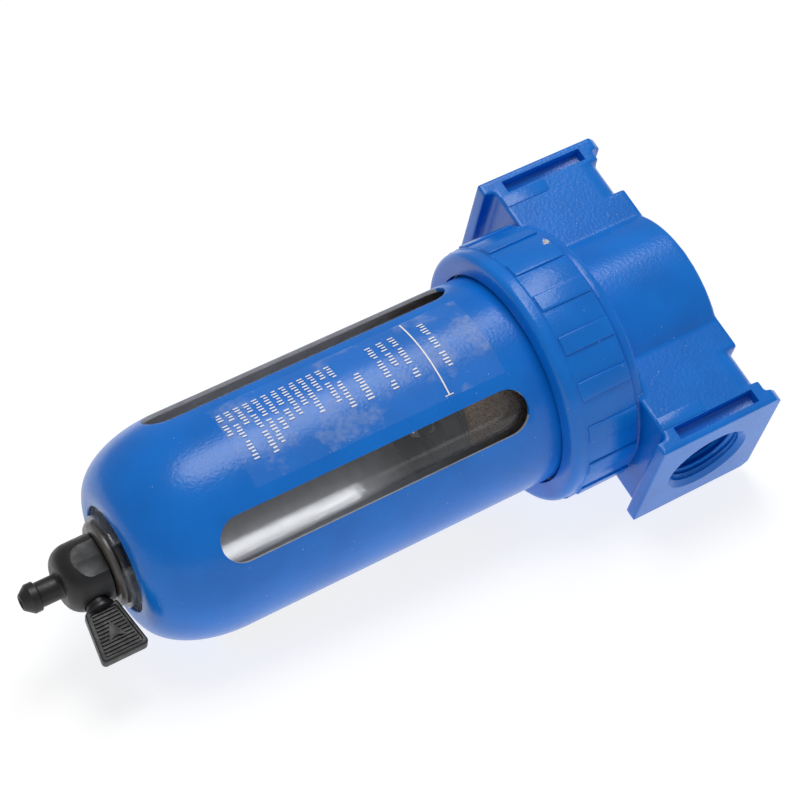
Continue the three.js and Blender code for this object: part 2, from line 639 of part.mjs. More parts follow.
// Umbrella-shaped plate that keeps the collected water still.
function baffle() {
  const R = BAFFLE_RADIUS;
  const flat = R - BAFFLE_SLOPE;
  const wall = BAFFLE_SKIRT_WALL;
  const under = BAFFLE_TOP - BAFFLE_THICKNESS;
  const foot = BAFFLE_TOP - BAFFLE_SKIRT;
  return turned([
    [STUD_HOLE, BAFFLE_TOP], [flat, BAFFLE_TOP], [R, BAFFLE_TOP - 2], [R, foot],
    [R - wall, foot], [R - wall, under - 1.4], [flat - 1, under], [STUD_HOLE, under],
  ], MEDIUM);
}

function elementStud() {
  return tube(STUD_RADIUS, 0, STUD_BOTTOM, STUD_TOP, COARSE);
}

function studWasher() {
  return tube(STUD_NUT_RADIUS, STUD_HOLE, STUD_WASHER_TOP - WASHER_THICKNESS, STUD_WASHER_TOP, COARSE);
}

function studNut() {
  const blank = extrudedZ(hexagon(2 * STUD_NUT_RADIUS), STUD_NUT_TOP - STUD_NUT_HEIGHT, STUD_NUT_TOP);
  return cut(blank, tube(STUD_HOLE, 0, STUD_NUT_TOP - STUD_NUT_HEIGHT - 1, STUD_NUT_TOP + 1, COARSE));
}

// ---------------------------------------------------------------- drain cock
function drainWasher() {
  const bottom = DRAIN_WASHER_TOP - DRAIN_WASHER_THICKNESS;
  return tube(DRAIN_WASHER_RADIUS, DRAIN_HOLE, bottom, DRAIN_WASHER_TOP, MEDIUM);
}

// Outer form of the cock: stem, barrel, dome, neck and barb.
function drainBlank() {
  const dome = arc(
    DRAIN_NECK_RADIUS, DRAIN_DOME_TOP, DRAIN_RADIUS - DRAIN_NECK_RADIUS, DRAIN_DOME, 0, -90, 6,
  );
  const groove = DRAIN_ORING_SECTION + 0.3;
  const grooveFloor = DRAIN_STEM_RADIUS - 2 * DRAIN_ORING_SECTION;
  const chamfer = BARB_RADIUS - BARB_TIP_RADIUS;
  return turned([
    [0, DRAIN_STEM_TOP], [0, BARB_BOTTOM], [BARB_TIP_RADIUS, BARB_BOTTOM],
    [BARB_RADIUS, BARB_BOTTOM + 1.2 * chamfer], [BARB_RADIUS, DRAIN_NECK_BOTTOM - 0.4],
    [DRAIN_NECK_RADIUS, DRAIN_NECK_BOTTOM], ...dome.reverse(),
    [DRAIN_RADIUS, DRAIN_TOP], [DRAIN_STEM_RADIUS, DRAIN_TOP],
    [DRAIN_STEM_RADIUS, DRAIN_GROOVE_Z - groove], [grooveFloor, DRAIN_GROOVE_Z - groove],
    [grooveFloor, DRAIN_GROOVE_Z + groove], [DRAIN_STEM_RADIUS, DRAIN_GROOVE_Z + groove],
    [DRAIN_STEM_RADIUS, DRAIN_STEM_TOP],
  ], MEDIUM);
}

// Sunk wrench flat, rounded at its lower end, on the front or turned to the back.
function wrenchFlat(turnDeg) {
  const r = DRAIN_FLAT_WIDTH / 2;
  const bottom = DRAIN_DOME_TOP - 2;
  const outline = [
    [r, DRAIN_TOP + 1], [-r, DRAIN_TOP + 1], ...arc(0, bottom + r, r, r, 180, 360, 6),
  ];
  return extrudedY(outline, -DRAIN_RADIUS - 1, -DRAIN_RADIUS + DRAIN_FLAT_DEPTH, turnDeg);
}

function drainBody() {
  const bore = tube(DRAIN_BORE, 0, BARB_BOTTOM - 1, DRAIN_STEM_TOP + 1, COARSE);
  const seat = tubeX(
    PLUG_RADIUS + RUN_GAP, 0, -PLUG_REACH - GAP, DRAIN_RADIUS + 1, COARSE, DRAIN_AXIS_Z,
  );
  return cut(drainBlank(), wrenchFlat(0), wrenchFlat(180), bore, seat);
}

// Quarter-turn plug along X with its cross bore and seal groove, about its own axis.
function drainPlug() {
  const groove = PLUG_ORING_SECTION + 0.25;
  const floor = PLUG_RADIUS - 2 * PLUG_ORING_SECTION;
  const end = LEVER_START_X - GAP;
  const blank = turnedX([
    [0, -PLUG_REACH], [PLUG_RADIUS, -PLUG_REACH], [PLUG_RADIUS, PLUG_ORING_X - groove],
    [floor, PLUG_ORING_X - groove], [floor, PLUG_ORING_X + groove],
    [PLUG_RADIUS, PLUG_ORING_X + groove], [PLUG_RADIUS, end], [0, end],
  ], COARSE);
  return cut(blank, tube(PLUG_BORE, 0, -PLUG_RADIUS - 1, PLUG_RADIUS + 1, 16));
}

function plugOring() {
  const section = PLUG_ORING_SECTION;
  const ring = new THREE.TorusGeometry(PLUG_RADIUS - section + 0.1, section - 0.05, 6, COARSE);
  ring.rotateY(Math.PI / 2);
  ring.translate(PLUG_ORING_X, 0, 0);
  return solid(ring);
}

// Tapered wing with a sunk, ribbed panel on both faces, level with the plug axis.
function drainLever() {
  const x0 = LEVER_START_X;
  const x1 = LEVER_END_X;
  const t = LEVER_THICKNESS / 2;
  const c = 1;
  const wing = extrudedY([
    [x0, -LEVER_ROOT_HALF], [x1 - c, -LEVER_TIP_HALF], [x1, -LEVER_TIP_HALF + c],
    [x1, LEVER_TIP_HALF - c], [x1 - c, LEVER_TIP_HALF], [x0, LEVER_ROOT_HALF],
  ], -t, t);
  const rim = LEVER_RIM;
  const root = LEVER_ROOT_HALF - rim + 0.2;
  const tip = LEVER_TIP_HALF - rim;
  const panel = [[x0 + rim, -root], [x1 - rim, -tip], [x1 - rim, tip], [x0 + rim, root]];
  const front = extrudedY(panel, -t - 1, -t + LEVER_RECESS);
  const back = extrudedY(panel, t - LEVER_RECESS, t + 1);
  const span = x1 - x0 - 2 * rim;
  const ribs = [];
  for (let i = 0; i < LEVER_RIBS; i += 1) {
    const x = x0 + rim + (span * (i + 0.5)) / LEVER_RIBS;
    const half = root + ((tip - root) * (x - x0 - rim)) / span + OVERLAP;
    ribs.push(box(x - 0.35, x + 0.35, -t + 0.15, t - 0.15, -half, half));
  }
  return union(cut(wing, front, back), ...ribs);
}

function drainOring() {
  const section = DRAIN_ORING_SECTION;
  return torusRing(DRAIN_STEM_RADIUS - section + 0.15, section - 0.1, DRAIN_GROOVE_Z);
}

function drainGasket() {
  const bottom = BOWL_FLOOR_TOP + GAP;
  return tube(DRAIN_NUT_RADIUS - 1.2, DRAIN_HOLE, bottom, DRAIN_GASKET_TOP, COARSE);
}

function drainNut() {
  const bottom = DRAIN_NUT_BOTTOM;
  const blank = extrudedZ(hexagon(2 * DRAIN_NUT_RADIUS), bottom, bottom + DRAIN_NUT_HEIGHT);
  return cut(blank, tube(DRAIN_HOLE, 0, bottom - 1, bottom + DRAIN_NUT_HEIGHT + 1, COARSE));
}

// ---------------------------------------------------------------- assembly
function assembly(level, ...meshes) {
  const result = new THREE.Group();
  result.position.z = level;
  result.add(...meshes);
  return result;
}

const head = assembly(
  0,
  piece('filter_head', filterHead(), paint()),
  piece('swirl_deflector', swirlDeflector(), blackPlastic()),
  piece('upper_seal', upperSeal(), darkRubber()),
  piece('filter_element', filterElement(), finish(0x9a7350, 0.9, 0.2)),
  piece('lower_seal', lowerSeal(), darkRubber()),
  piece('baffle', baffle(), blackPlastic()),
  piece('element_stud', elementStud(), steel()),
  piece('stud_washer', studWasher(), steel()),
  piece('stud_nut', studNut(), steel()),
);

const ringNut = assembly(0, piece('retaining_ring', retainingRing(), paint()));

const bowlUnit = assembly(
  0,
  piece('bowl_guard', bowlGuard(), paint()),
  piece('guard_label', guardLabel(), clear(0.25)),
  piece('bowl', bowl(), clear(0.3)),
  piece('bowl_oring', bowlOring(), darkRubber()),
  piece('thrust_washer', thrustWasher(), steel()),
  piece('drain_washer', drainWasher(), finish(0x8d8983, 0.35, 0.1)),
  piece('drain_body', drainBody(), blackPlastic()),
  piece('drain_oring', drainOring(), darkRubber()),
  piece('drain_gasket', drainGasket(), darkRubber()),
  piece('drain_nut', drainNut(), finish(0xb08d4a, 0.35, 0.9)),
);

const drainValve = assembly(
  DRAIN_AXIS_Z,
  piece('drain_plug', drainPlug(), blackPlastic()),
  piece('plug_oring', plugOring(), darkRubber()),
  piece('drain_lever', drainLever(), blackPlastic()),
);

const group = new THREE.Group();
group.name = 'compressed_air_filter';
group.add(head, ringNut, bowlUnit, drainValve);

export default group;
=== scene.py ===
"""Compressed air filter on a pale studio table.

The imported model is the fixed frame: Z runs up along the bowl axis, X along the
port axis and -Y is the front. Sizes in the classes are millimetres, and meshes
are made in metres.
"""

import logging
import math
from collections.abc import Iterable, Sequence
from dataclasses import dataclass, field
from enum import Enum

import bpy
from mathutils import Matrix, Vector


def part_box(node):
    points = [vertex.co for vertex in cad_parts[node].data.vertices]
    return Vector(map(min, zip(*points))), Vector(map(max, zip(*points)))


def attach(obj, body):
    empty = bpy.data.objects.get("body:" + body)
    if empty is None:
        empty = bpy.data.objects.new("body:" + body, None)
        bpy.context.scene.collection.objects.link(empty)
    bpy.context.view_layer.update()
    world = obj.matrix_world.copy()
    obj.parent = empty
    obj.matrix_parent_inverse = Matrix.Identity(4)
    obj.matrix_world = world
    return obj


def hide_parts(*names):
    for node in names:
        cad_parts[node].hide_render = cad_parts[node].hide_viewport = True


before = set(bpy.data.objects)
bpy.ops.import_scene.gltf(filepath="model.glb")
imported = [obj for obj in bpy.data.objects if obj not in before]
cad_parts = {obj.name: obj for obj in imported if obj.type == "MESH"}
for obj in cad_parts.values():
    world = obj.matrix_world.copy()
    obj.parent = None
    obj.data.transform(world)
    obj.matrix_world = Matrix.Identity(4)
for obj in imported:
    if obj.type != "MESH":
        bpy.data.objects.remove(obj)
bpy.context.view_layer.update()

LOG = logging.getLogger("air_filter")
MM = 0.001
TURN = 2 * math.pi
WELD = 2e-6  # metres within which corners are one
Flat = tuple[float, float]
Colour = tuple[float, float, float]


class Axis(Enum):
    """Direction along which a section is drawn out or turned."""

    X = 0
    Y = 1
    Z = 2


class Join(Enum):
    """How a second solid is worked into a first one."""

    ADD = "UNION"
    CUT = "DIFFERENCE"
    KEEP = "INTERSECT"


# --------------------------------------------------------------- drawing tools
def release() -> None:
    """Deselects every object."""
    if bpy.context.object and bpy.context.object.mode != "OBJECT":
        bpy.ops.object.mode_set(mode="OBJECT")
    bpy.ops.object.select_all(action="DESELECT")


def hold(obj: bpy.types.Object) -> None:
    """Selects one object alone and makes it active."""
    release()
    obj.select_set(True)
    bpy.context.view_layer.objects.active = obj


def edit(obj: bpy.types.Object) -> None:
    """Opens one object in edit mode with everything selected."""
    hold(obj)
    bpy.ops.object.mode_set(mode="EDIT")
    bpy.ops.mesh.select_mode(type="VERT")
    bpy.ops.mesh.select_all(action="SELECT")


def close(outward: bool = True) -> None:
    """Merges doubled corners, turns the faces outward and leaves edit mode.

    Args:
        outward: whether the faces enclose a solid and have to look out of it.
    """
    bpy.ops.mesh.select_all(action="SELECT")
    bpy.ops.mesh.remove_doubles(threshold=WELD)
    if outward:
        bpy.ops.mesh.normals_make_consistent(inside=False)
    bpy.ops.object.mode_set(mode="OBJECT")


def arc(centre: Flat, radii: Flat, start: float, end: float, steps: int) -> list[Flat]:
    """Points on an elliptic arc.

    Args:
        centre: middle of the ellipse.
        radii: its two half axes.
        start: first angle in degrees.
        end: last angle in degrees.
        steps: number of chords.

    Returns:
        The points from the first angle to the last, both included.
    """
    turns = [math.radians(start + (end - start) * i / steps) for i in range(steps + 1)]
    return [(centre[0] + radii[0] * math.cos(t), centre[1] + radii[1] * math.sin(t)) for t in turns]


def rounded(corners: Sequence[tuple[float, float, float]], steps: int = 3) -> list[Flat]:
    """Rounds the corners of a closed outline.

    Args:
        corners: (u, v, radius) of each corner, in order round the outline.
        steps: chords in each rounding.

    Returns:
        The outline with each corner replaced by a smooth curve.
    """
    points: list[Flat] = []
    count = len(corners)
    for i, (u, v, radius) in enumerate(corners):
        here = Vector((u, v))
        if radius <= 0:
            points.append((u, v))
            continue
        before = (Vector(corners[i - 1][:2]) - here).normalized()
        after = (Vector(corners[(i + 1) % count][:2]) - here).normalized()
        half = before.angle(after) / 2
        run = radius / math.tan(half)
        middle = here + (before + after).normalized() * (radius / math.sin(half))
        first, last = here + before * run - middle, here + after * run - middle
        sweep = first.angle_signed(last)
        for k in range(steps + 1):
            turned_by = -sweep * k / steps
            c, s = math.cos(turned_by), math.sin(turned_by)
            points.append(
                (middle.x + first.x * c - first.y * s, middle.y + first.x * s + first.y * c)
            )
    return points


def polyline(name: str, points: Iterable[Vector]) -> bpy.types.Object:
    """Draws a chain of edges by extruding one corner from point to point.

    Args:
        name: name of the new object.
        points: the corners in millimetres.

    Returns:
        The object, left in edit mode with every corner selected.
    """
    spots = [p * MM for p in points]
    release()
    bpy.ops.mesh.primitive_plane_add(size=2 * MM, location=(0, 0, 0))
    obj = bpy.context.object
    obj.name = name
    bpy.ops.object.mode_set(mode="EDIT")
    bpy.ops.mesh.select_mode(type="VERT")
    bpy.ops.mesh.merge(type="CENTER")
    bpy.ops.transform.translate(value=spots[0])
    for here, there in zip(spots, spots[1:]):
        bpy.ops.mesh.extrude_region_move(TRANSFORM_OT_translate={"value": there - here})
    bpy.ops.mesh.select_all(action="SELECT")
    return obj


def place(u: float, v: float, along: float, axis: Axis) -> Vector:
    """Puts a section's (u, v) and its place along an axis into space.

    Args:
        u: first coordinate of the section: Y for X sections, otherwise X.
        v: second coordinate: Y for Z sections, otherwise Z.
        along: place on the axis.
        axis: the section's axis.

    Returns:
        The point in millimetres.
    """
    if axis is Axis.X:
        return Vector((along, u, v))
    if axis is Axis.Y:
        return Vector((u, along, v))
    return Vector((u, v, along))


def prism(
    name: str, outline: Sequence[Flat], start: float, end: float, axis: Axis = Axis.Z
) -> bpy.types.Object:
    """Draws a closed outline and extrudes it into a solid.

    Args:
        name: name of the new object.
        outline: the section's corners in millimetres.
        start: where the solid starts on the axis.
        end: where it ends.
        axis: direction of the extrusion.

    Returns:
        The solid.
    """
    obj = polyline(name, [place(u, v, start, axis) for u, v in [*outline, outline[0]]])
    bpy.ops.mesh.remove_doubles(threshold=WELD)
    bpy.ops.mesh.edge_face_add()
    step = (place(0, 0, end, axis) - place(0, 0, start, axis)) * MM
    bpy.ops.mesh.extrude_region_move(TRANSFORM_OT_translate={"value": step})
    close()
    return obj


def turned(
    name: str,
    outline: Sequence[Flat],
    steps: int,
    axis: Axis = Axis.Z,
    centre: Vector = Vector((0, 0, 0)),
) -> bpy.types.Object:
    """Spins an outline all the way round an axis.

    Args:
        name: name of the new object.
        outline: (radius, place along the axis) of each corner in millimetres. It is closed
            by its own last edge unless both ends lie on the axis.
        steps: segments in the full turn.
        axis: the axis of the lathe, X or Z.
        centre: a point on that axis, in millimetres.

    Returns:
        The solid.
    """
    corners = list(outline)
    if corners[0][0] > 0 or corners[-1][0] > 0:
        corners.append(corners[0])
    if axis is Axis.X:
        points = [Vector((s, 0, r)) + centre for r, s in corners]
        spin_axis = (1, 0, 0)
    else:
        points = [Vector((r, 0, s)) + centre for r, s in corners]
        spin_axis = (0, 0, 1)
    obj = polyline(name, points)
    bpy.ops.mesh.remove_doubles(threshold=WELD)
    bpy.ops.mesh.select_all(action="SELECT")
    bpy.ops.mesh.spin(steps=steps, angle=TURN, center=centre * MM, axis=spin_axis)
    close()
    return obj


def tube(
    name: str,
    hole: float,
    radius: float,
    start: float,
    end: float,
    steps: int = 96,
    axis: Axis = Axis.Z,
    centre: Vector = Vector((0, 0, 0)),
) -> bpy.types.Object:
    """Turns a plain tube, or a rod where the hole is 0.

    Args:
        name: name of the new object.
        hole: inner radius in millimetres.
        radius: outer radius.
        start: where it starts on the axis.
        end: where it ends.
        steps: segments in the full turn.
        axis: the axis of the lathe, X or Z.
        centre: a point on that axis, in millimetres.

    Returns:
        The solid.
    """
    outline = [(hole, start), (radius, start), (radius, end), (hole, end)]
    return turned(name, outline, steps, axis, centre)


def block(name: str, low: Sequence[float], high: Sequence[float]) -> bpy.types.Object:
    """Draws a rectangular block between two corners given in millimetres."""
    (x0, y0, z0), (x1, y1, z1) = low, high
    return prism(name, [(x0, y0), (x1, y0), (x1, y1), (x0, y1)], z0, z1)


def coil(
    name: str,
    section: Sequence[Flat],
    pitch: float,
    turns: float,
    axis: Axis,
    steps: int = 64,
) -> bpy.types.Object:
    """Sweeps a small closed section along a helix.

    Args:
        name: name of the new object.
        section: (radius, place along the axis) corners of the section at its start.
        pitch: rise of one turn along +axis.
        turns: number of turns.
        axis: the helix axis, X or Z.
        steps: segments in a turn.

    Returns:
        The closed thread ridge.
    """
    if axis is Axis.X:
        points = [Vector((s, 0, r)) for r, s in [*section, section[0]]]
    else:
        points = [Vector((r, 0, s)) for r, s in [*section, section[0]]]
    obj = polyline(name, points)
    bpy.ops.mesh.remove_doubles(threshold=WELD)
    bpy.ops.object.mode_set(mode="OBJECT")
    shape(
        obj, "SCREW", angle=TURN * turns, screw_offset=pitch * turns * MM, axis=axis.name,
        steps=int(steps * turns), render_steps=int(steps * turns), use_merge_vertices=False,
    )
    edit(obj)
    bpy.ops.mesh.select_all(action="DESELECT")
    bpy.ops.mesh.select_non_manifold()
    bpy.ops.mesh.fill_holes(sides=0)
    close()
    return obj


def shape(obj: bpy.types.Object, kind: str, **settings: object) -> None:
    """Adds a modifier with these settings and applies it at once."""
    hold(obj)
    modifier = obj.modifiers.new(kind.title(), kind)
    for key, value in settings.items():
        setattr(modifier, key, value)
    bpy.ops.object.modifier_apply(modifier=modifier.name)


def work(obj: bpy.types.Object, join: Join, *tools: bpy.types.Object) -> None:
    """Adds, cuts or intersects solids and removes the tools."""
    for tool in tools:
        shape(obj, "BOOLEAN", operation=join.value, object=tool, solver="MANIFOLD")
        bpy.data.objects.remove(tool)


def round_edges(obj: bpy.types.Object, width: float, segments: int = 2, angle: float = 40) -> None:
    """Rounds the sharp edges of a solid.

    Args:
        obj: the solid.
        width: width of the rounding in millimetres.
        segments: faces across it.
        angle: edges sharper than this many degrees are rounded.
    """
    shape(
        obj, "BEVEL", width=width * MM, segments=segments, limit_method="ANGLE",
        angle_limit=math.radians(angle), use_clamp_overlap=True, miter_outer="MITER_ARC",
    )


def spun_copies(obj: bpy.types.Object, count: int, step: float) -> list[bpy.types.Object]:
    """Copies a piece round the Z axis.

    Args:
        obj: the first piece, which is kept as the first of the set.
        count: how many there are in all.
        step: degrees from each to the next.

    Returns:
        All the pieces.
    """
    pieces = [obj]
    for i in range(1, count):
        hold(obj)
        bpy.ops.object.duplicate(linked=False)
        copy = bpy.context.object
        copy.data.transform(Matrix.Rotation(math.radians(step * i), 4, "Z"))
        pieces.append(copy)
    return pieces


def mirrored(obj: bpy.types.Object, axis: Axis = Axis.X) -> bpy.types.Object:
    """Makes a mirror image of a solid across the plane through the origin."""
    hold(obj)
    bpy.ops.object.duplicate(linked=False)
    copy = bpy.context.object
    scale = [1.0, 1.0, 1.0]
    scale[axis.value] = -1.0
    copy.data.transform(Matrix.Diagonal((*scale, 1.0)))
    edit(copy)
    close()
    return copy


def smooth(obj: bpy.types.Object, angle: float = 35) -> None:
    """Shades the faces smooth across edges blunter than an angle in degrees."""
    hold(obj)
    bpy.ops.object.shade_smooth_by_angle(angle=math.radians(angle), keep_sharp_edges=False)


# --------------------------------------------------------------- finishes
class Recipe:
    """Node tree of one material, with short ways to add and wire nodes."""

    def __init__(self, name: str) -> None:
        """Starts a material with one Principled shader."""
        self.material = bpy.data.materials.new(name)
        self.material.use_nodes = True
        self.tree = self.material.node_tree
        self.shader = self.tree.nodes["Principled BSDF"]
        coords = self.tree.nodes.new("ShaderNodeTexCoord")
        self.place = coords.outputs["Object"]

    def set(self, **values: object) -> None:
        """Sets shader sockets, given by name with spaces as underscores."""
        for key, value in values.items():
            self.shader.inputs[key.replace("_", " ")].default_value = value

    def wire(self, output: bpy.types.NodeSocket, socket: str) -> None:
        """Feeds an output into one of the shader's sockets."""
        self.tree.links.new(output, self.shader.inputs[socket])

    def noise(self, size: float, detail: float = 2.0, rough: float = 0.5) -> bpy.types.NodeSocket:
        """Adds cloudy noise.

        Args:
            size: size of its features in millimetres.
            detail: octaves.
            rough: strength of the finer octaves.

        Returns:
            The factor output.
        """
        node = self.tree.nodes.new("ShaderNodeTexNoise")
        node.inputs["Scale"].default_value = 1 / (size * MM)
        node.inputs["Detail"].default_value = detail
        node.inputs["Roughness"].default_value = rough
        self.tree.links.new(self.place, node.inputs["Vector"])
        return node.outputs["Fac"]

    def cells(self, size: float) -> bpy.types.NodeSocket:
        """Distance to the nearest of scattered points, size millimetres apart."""
        node = self.tree.nodes.new("ShaderNodeTexVoronoi")
        node.inputs["Scale"].default_value = 1 / (size * MM)
        self.tree.links.new(self.place, node.inputs["Vector"])
        return node.outputs["Distance"]

    def ramp(self, source: bpy.types.NodeSocket, low: float, high: float,
             start: float = 0.0, end: float = 1.0) -> bpy.types.NodeSocket:
        """Maps a value from low..high to start..end, clamped.

        Args:
            source: the value.
            low: input that gives start.
            high: input that gives end.
            start: first result.
            end: last result.

        Returns:
            The mapped value.
        """
        node = self.tree.nodes.new("ShaderNodeMapRange")
        for socket, value in zip(("From Min", "From Max", "To Min", "To Max"), (low, high, start, end)):
            node.inputs[socket].default_value = value
        self.tree.links.new(source, node.inputs["Value"])
        return node.outputs["Result"]

    def math(self, operation: str, a: bpy.types.NodeSocket,
             b: bpy.types.NodeSocket | float) -> bpy.types.NodeSocket:
        """Joins two values with a Math node."""
        node = self.tree.nodes.new("ShaderNodeMath")
        node.operation = operation
        self.tree.links.new(a, node.inputs[0])
        if isinstance(b, float):
            node.inputs[1].default_value = b
        else:
            self.tree.links.new(b, node.inputs[1])
        return node.outputs["Value"]

    def blend(self, factor: bpy.types.NodeSocket, a: Colour | bpy.types.NodeSocket,
              b: Colour) -> bpy.types.NodeSocket:
        """Mixes two colours.

        Args:
            factor: 0 for the first, 1 for the second.
            a: first colour, or a socket that gives it.
            b: second colour.

        Returns:
            The mixed colour.
        """
        node = self.tree.nodes.new("ShaderNodeMix")
        node.data_type = "RGBA"
        self.tree.links.new(factor, node.inputs["Factor"])
        if isinstance(a, tuple):
            node.inputs[6].default_value = (*a, 1)
        else:
            self.tree.links.new(a, node.inputs[6])
        node.inputs[7].default_value = (*b, 1)
        return node.outputs[2]

    def bump(self, *layers: tuple[bpy.types.NodeSocket, float, float]) -> None:
        """Stacks bumps into the shader's normal.

        Args:
            layers: (height, distance in millimetres, strength) of each bump.
        """
        last = None
        for height, distance, strength in layers:
            node = self.tree.nodes.new("ShaderNodeBump")
            node.inputs["Distance"].default_value = distance * MM
            node.inputs["Strength"].default_value = strength
            self.tree.links.new(height, node.inputs["Height"])
            if last is not None:
                self.tree.links.new(last, node.inputs["Normal"])
            last = node.outputs["Normal"]
        self.tree.links.new(last, self.shader.inputs["Normal"])


@dataclass(frozen=True)
class Enamel:
    """Glossy stoved enamel over a rough casting, with dust nibs and one chip."""

    name: str = "blue_enamel"
    colour: Colour = (0.002, 0.188, 0.72)
    shade: Colour = (0.002, 0.157, 0.615)
    nib: Colour = (0.62, 0.76, 0.95)
    metal: Colour = (0.62, 0.60, 0.58)
    roughness: float = 0.25
    gloss: float = 0.36
    peel: float = 0.9
    peel_depth: float = 0.1
    chip_place: tuple[float, float, float] = (-16.1, -31.6, -17.9)
    chip_radius: float = 1.15

    def chip(self, recipe: Recipe) -> bpy.types.NodeSocket:
        """Marks the spot at the ring's upper edge where the paint is knocked off."""
        spot = recipe.tree.nodes.new("ShaderNodeVectorMath")
        spot.operation = "DISTANCE"
        recipe.tree.links.new(recipe.place, spot.inputs[0])
        spot.inputs[1].default_value = [c * MM for c in self.chip_place]
        ragged = recipe.ramp(recipe.noise(0.7, 2), 0.3, 0.7, 0.3, 1.5)
        reach = recipe.math("MULTIPLY", ragged, self.chip_radius * MM)
        return recipe.math("LESS_THAN", spot.outputs["Value"], reach)

    def mix(self) -> bpy.types.Material:
        """Makes the material."""
        recipe = Recipe(self.name)
        recipe.set(Roughness=self.roughness, IOR=1.5, Specular_IOR_Level=self.gloss)
        tone = recipe.ramp(recipe.noise(14, 3), 0.35, 0.7)
        base = recipe.blend(tone, self.colour, self.shade)
        specks = recipe.ramp(recipe.cells(1.8), 0.035, 0.07, 1.0, 0.0)
        thin = recipe.ramp(recipe.noise(8, 1), 0.52, 0.58)
        base = recipe.blend(recipe.math("MULTIPLY", specks, thin), base, self.nib)
        recipe.wire(recipe.blend(self.chip(recipe), base, self.metal), "Base Color")
        recipe.bump(
            (recipe.noise(5.5, 1), 0.05, 0.35), (recipe.noise(self.peel, 1.5), self.peel_depth, 0.6),
            (specks, 0.03, 0.6),
        )
        return recipe.material


@dataclass(frozen=True)
class Moulded:
    """Moulded plastic or rubber with a fine spark-eroded grain."""

    name: str
    colour: Colour
    roughness: float
    grain: float = 0.22
    depth: float = 0.02
    lift: float = 1.6

    def mix(self) -> bpy.types.Material:
        """Makes the material."""
        recipe = Recipe(self.name)
        recipe.set(Roughness=self.roughness, IOR=1.5)
        tone = recipe.ramp(recipe.noise(4.5, 4), 0.35, 0.72)
        pale = tuple(min(1.0, c * self.lift) for c in self.colour)
        recipe.wire(recipe.blend(tone, self.colour, pale), "Base Color")
        rough = recipe.ramp(recipe.noise(2.2, 3), 0.3, 0.7, self.roughness - 0.08, self.roughness + 0.1)
        recipe.wire(rough, "Roughness")
        recipe.bump((recipe.noise(self.grain, 2), self.depth, 0.7))
        return recipe.material


@dataclass(frozen=True)
class Clear:
    """Clear moulded plastic that mirrors more towards its outline, with a little haze."""

    name: str
    colour: Colour
    roughness: float
    index: float = 1.58
    haze: float = 0.022
    gloss: float = 0.9
    metallic: float = 0.8
    ripple: float = 0.02

    def mix(self) -> bpy.types.Material:
        """Makes the material."""
        recipe = Recipe(self.name)
        recipe.set(Base_Color=(*self.colour, 1), Metallic=self.metallic, Alpha=0.1)
        rough = recipe.ramp(recipe.noise(6, 3), 0.3, 0.75, self.roughness, self.roughness + 0.06)
        recipe.wire(rough, "Roughness")
        edge = recipe.tree.nodes.new("ShaderNodeFresnel")
        edge.inputs["IOR"].default_value = self.index
        cloud = recipe.ramp(recipe.noise(5, 2), 0.3, 0.75, self.haze * 0.6, self.haze * 1.5)
        shine = recipe.math("MULTIPLY", edge.outputs[0], self.gloss)
        recipe.wire(recipe.math("ADD", shine, cloud), "Alpha")
        recipe.bump((recipe.noise(7, 1), self.ripple, 0.5))
        return recipe.material


@dataclass(frozen=True)
class Film:
    """Thin label film with air caught under it in places."""

    name: str = "label_film"
    colour: Colour = (0.38, 0.58, 0.95)
    roughness: float = 0.2
    body: float = 0.03
    blister: float = 0.2

    def mix(self) -> bpy.types.Material:
        """Makes the material."""
        recipe = Recipe(self.name)
        recipe.set(Base_Color=(*self.colour, 1), Alpha=self.body)
        air = recipe.ramp(recipe.noise(13, 5, 0.6), 0.52, 0.6)
        grain = recipe.ramp(recipe.noise(1.3, 3), 0.4, 0.6, 0.4, 1.0)
        caught = recipe.math("MULTIPLY", recipe.math("MULTIPLY", air, grain), self.blister)
        recipe.wire(recipe.math("ADD", caught, self.body), "Alpha")
        recipe.wire(recipe.ramp(air, 0.0, 1.0, self.roughness, self.roughness + 0.2), "Roughness")
        recipe.bump((air, 0.05, 0.6), (recipe.noise(1.0, 2), 0.02, 0.4))
        return recipe.material


@dataclass(frozen=True)
class Sinter:
    """Sintered bronze: small balls fused together, with painted shade in the pores between them."""

    name: str = "sintered_bronze"
    colour: Colour = (0.92, 0.62, 0.42)
    # colour of the painted shade in the pores between the balls
    pore_shade: Colour = (0.30, 0.18, 0.11)
    ball: float = 0.38
    darker: float = 0.7

    def mix(self) -> bpy.types.Material:
        """Makes the material."""
        recipe = Recipe(self.name)
        recipe.set(Metallic=0.35, Roughness=0.55)
        cell = recipe.cells(self.ball)
        # painted shade: the colour darkens towards the pores between the balls, where shade would fall
        pore_shade_mask = recipe.ramp(cell, 0.3, 0.75)
        tone = recipe.ramp(recipe.noise(3, 3), 0.3, 0.75)
        base = recipe.blend(tone, self.colour, tuple(c * self.darker for c in self.colour))
        recipe.wire(recipe.blend(pore_shade_mask, base, self.pore_shade), "Base Color")
        recipe.bump((recipe.math("SUBTRACT", recipe.noise(4, 1), cell), 0.12, 0.9))
        return recipe.material


@dataclass(frozen=True)
class Metal:
    """Turned or plated metal with fine scratches."""

    name: str
    colour: Colour
    roughness: float = 0.3
    metallic: float = 1.0
    darker: float = 0.8

    def mix(self) -> bpy.types.Material:
        """Makes the material."""
        recipe = Recipe(self.name)
        recipe.set(Metallic=self.metallic)
        tone = recipe.ramp(recipe.noise(3.5, 4), 0.3, 0.7)
        shade = tuple(c * self.darker for c in self.colour)
        recipe.wire(recipe.blend(tone, self.colour, shade), "Base Color")
        rough = recipe.ramp(recipe.noise(0.9, 4), 0.3, 0.7, self.roughness - 0.08, self.roughness + 0.12)
        recipe.wire(rough, "Roughness")
        recipe.bump((recipe.noise(0.5, 3), 0.008, 0.5))
        return recipe.material


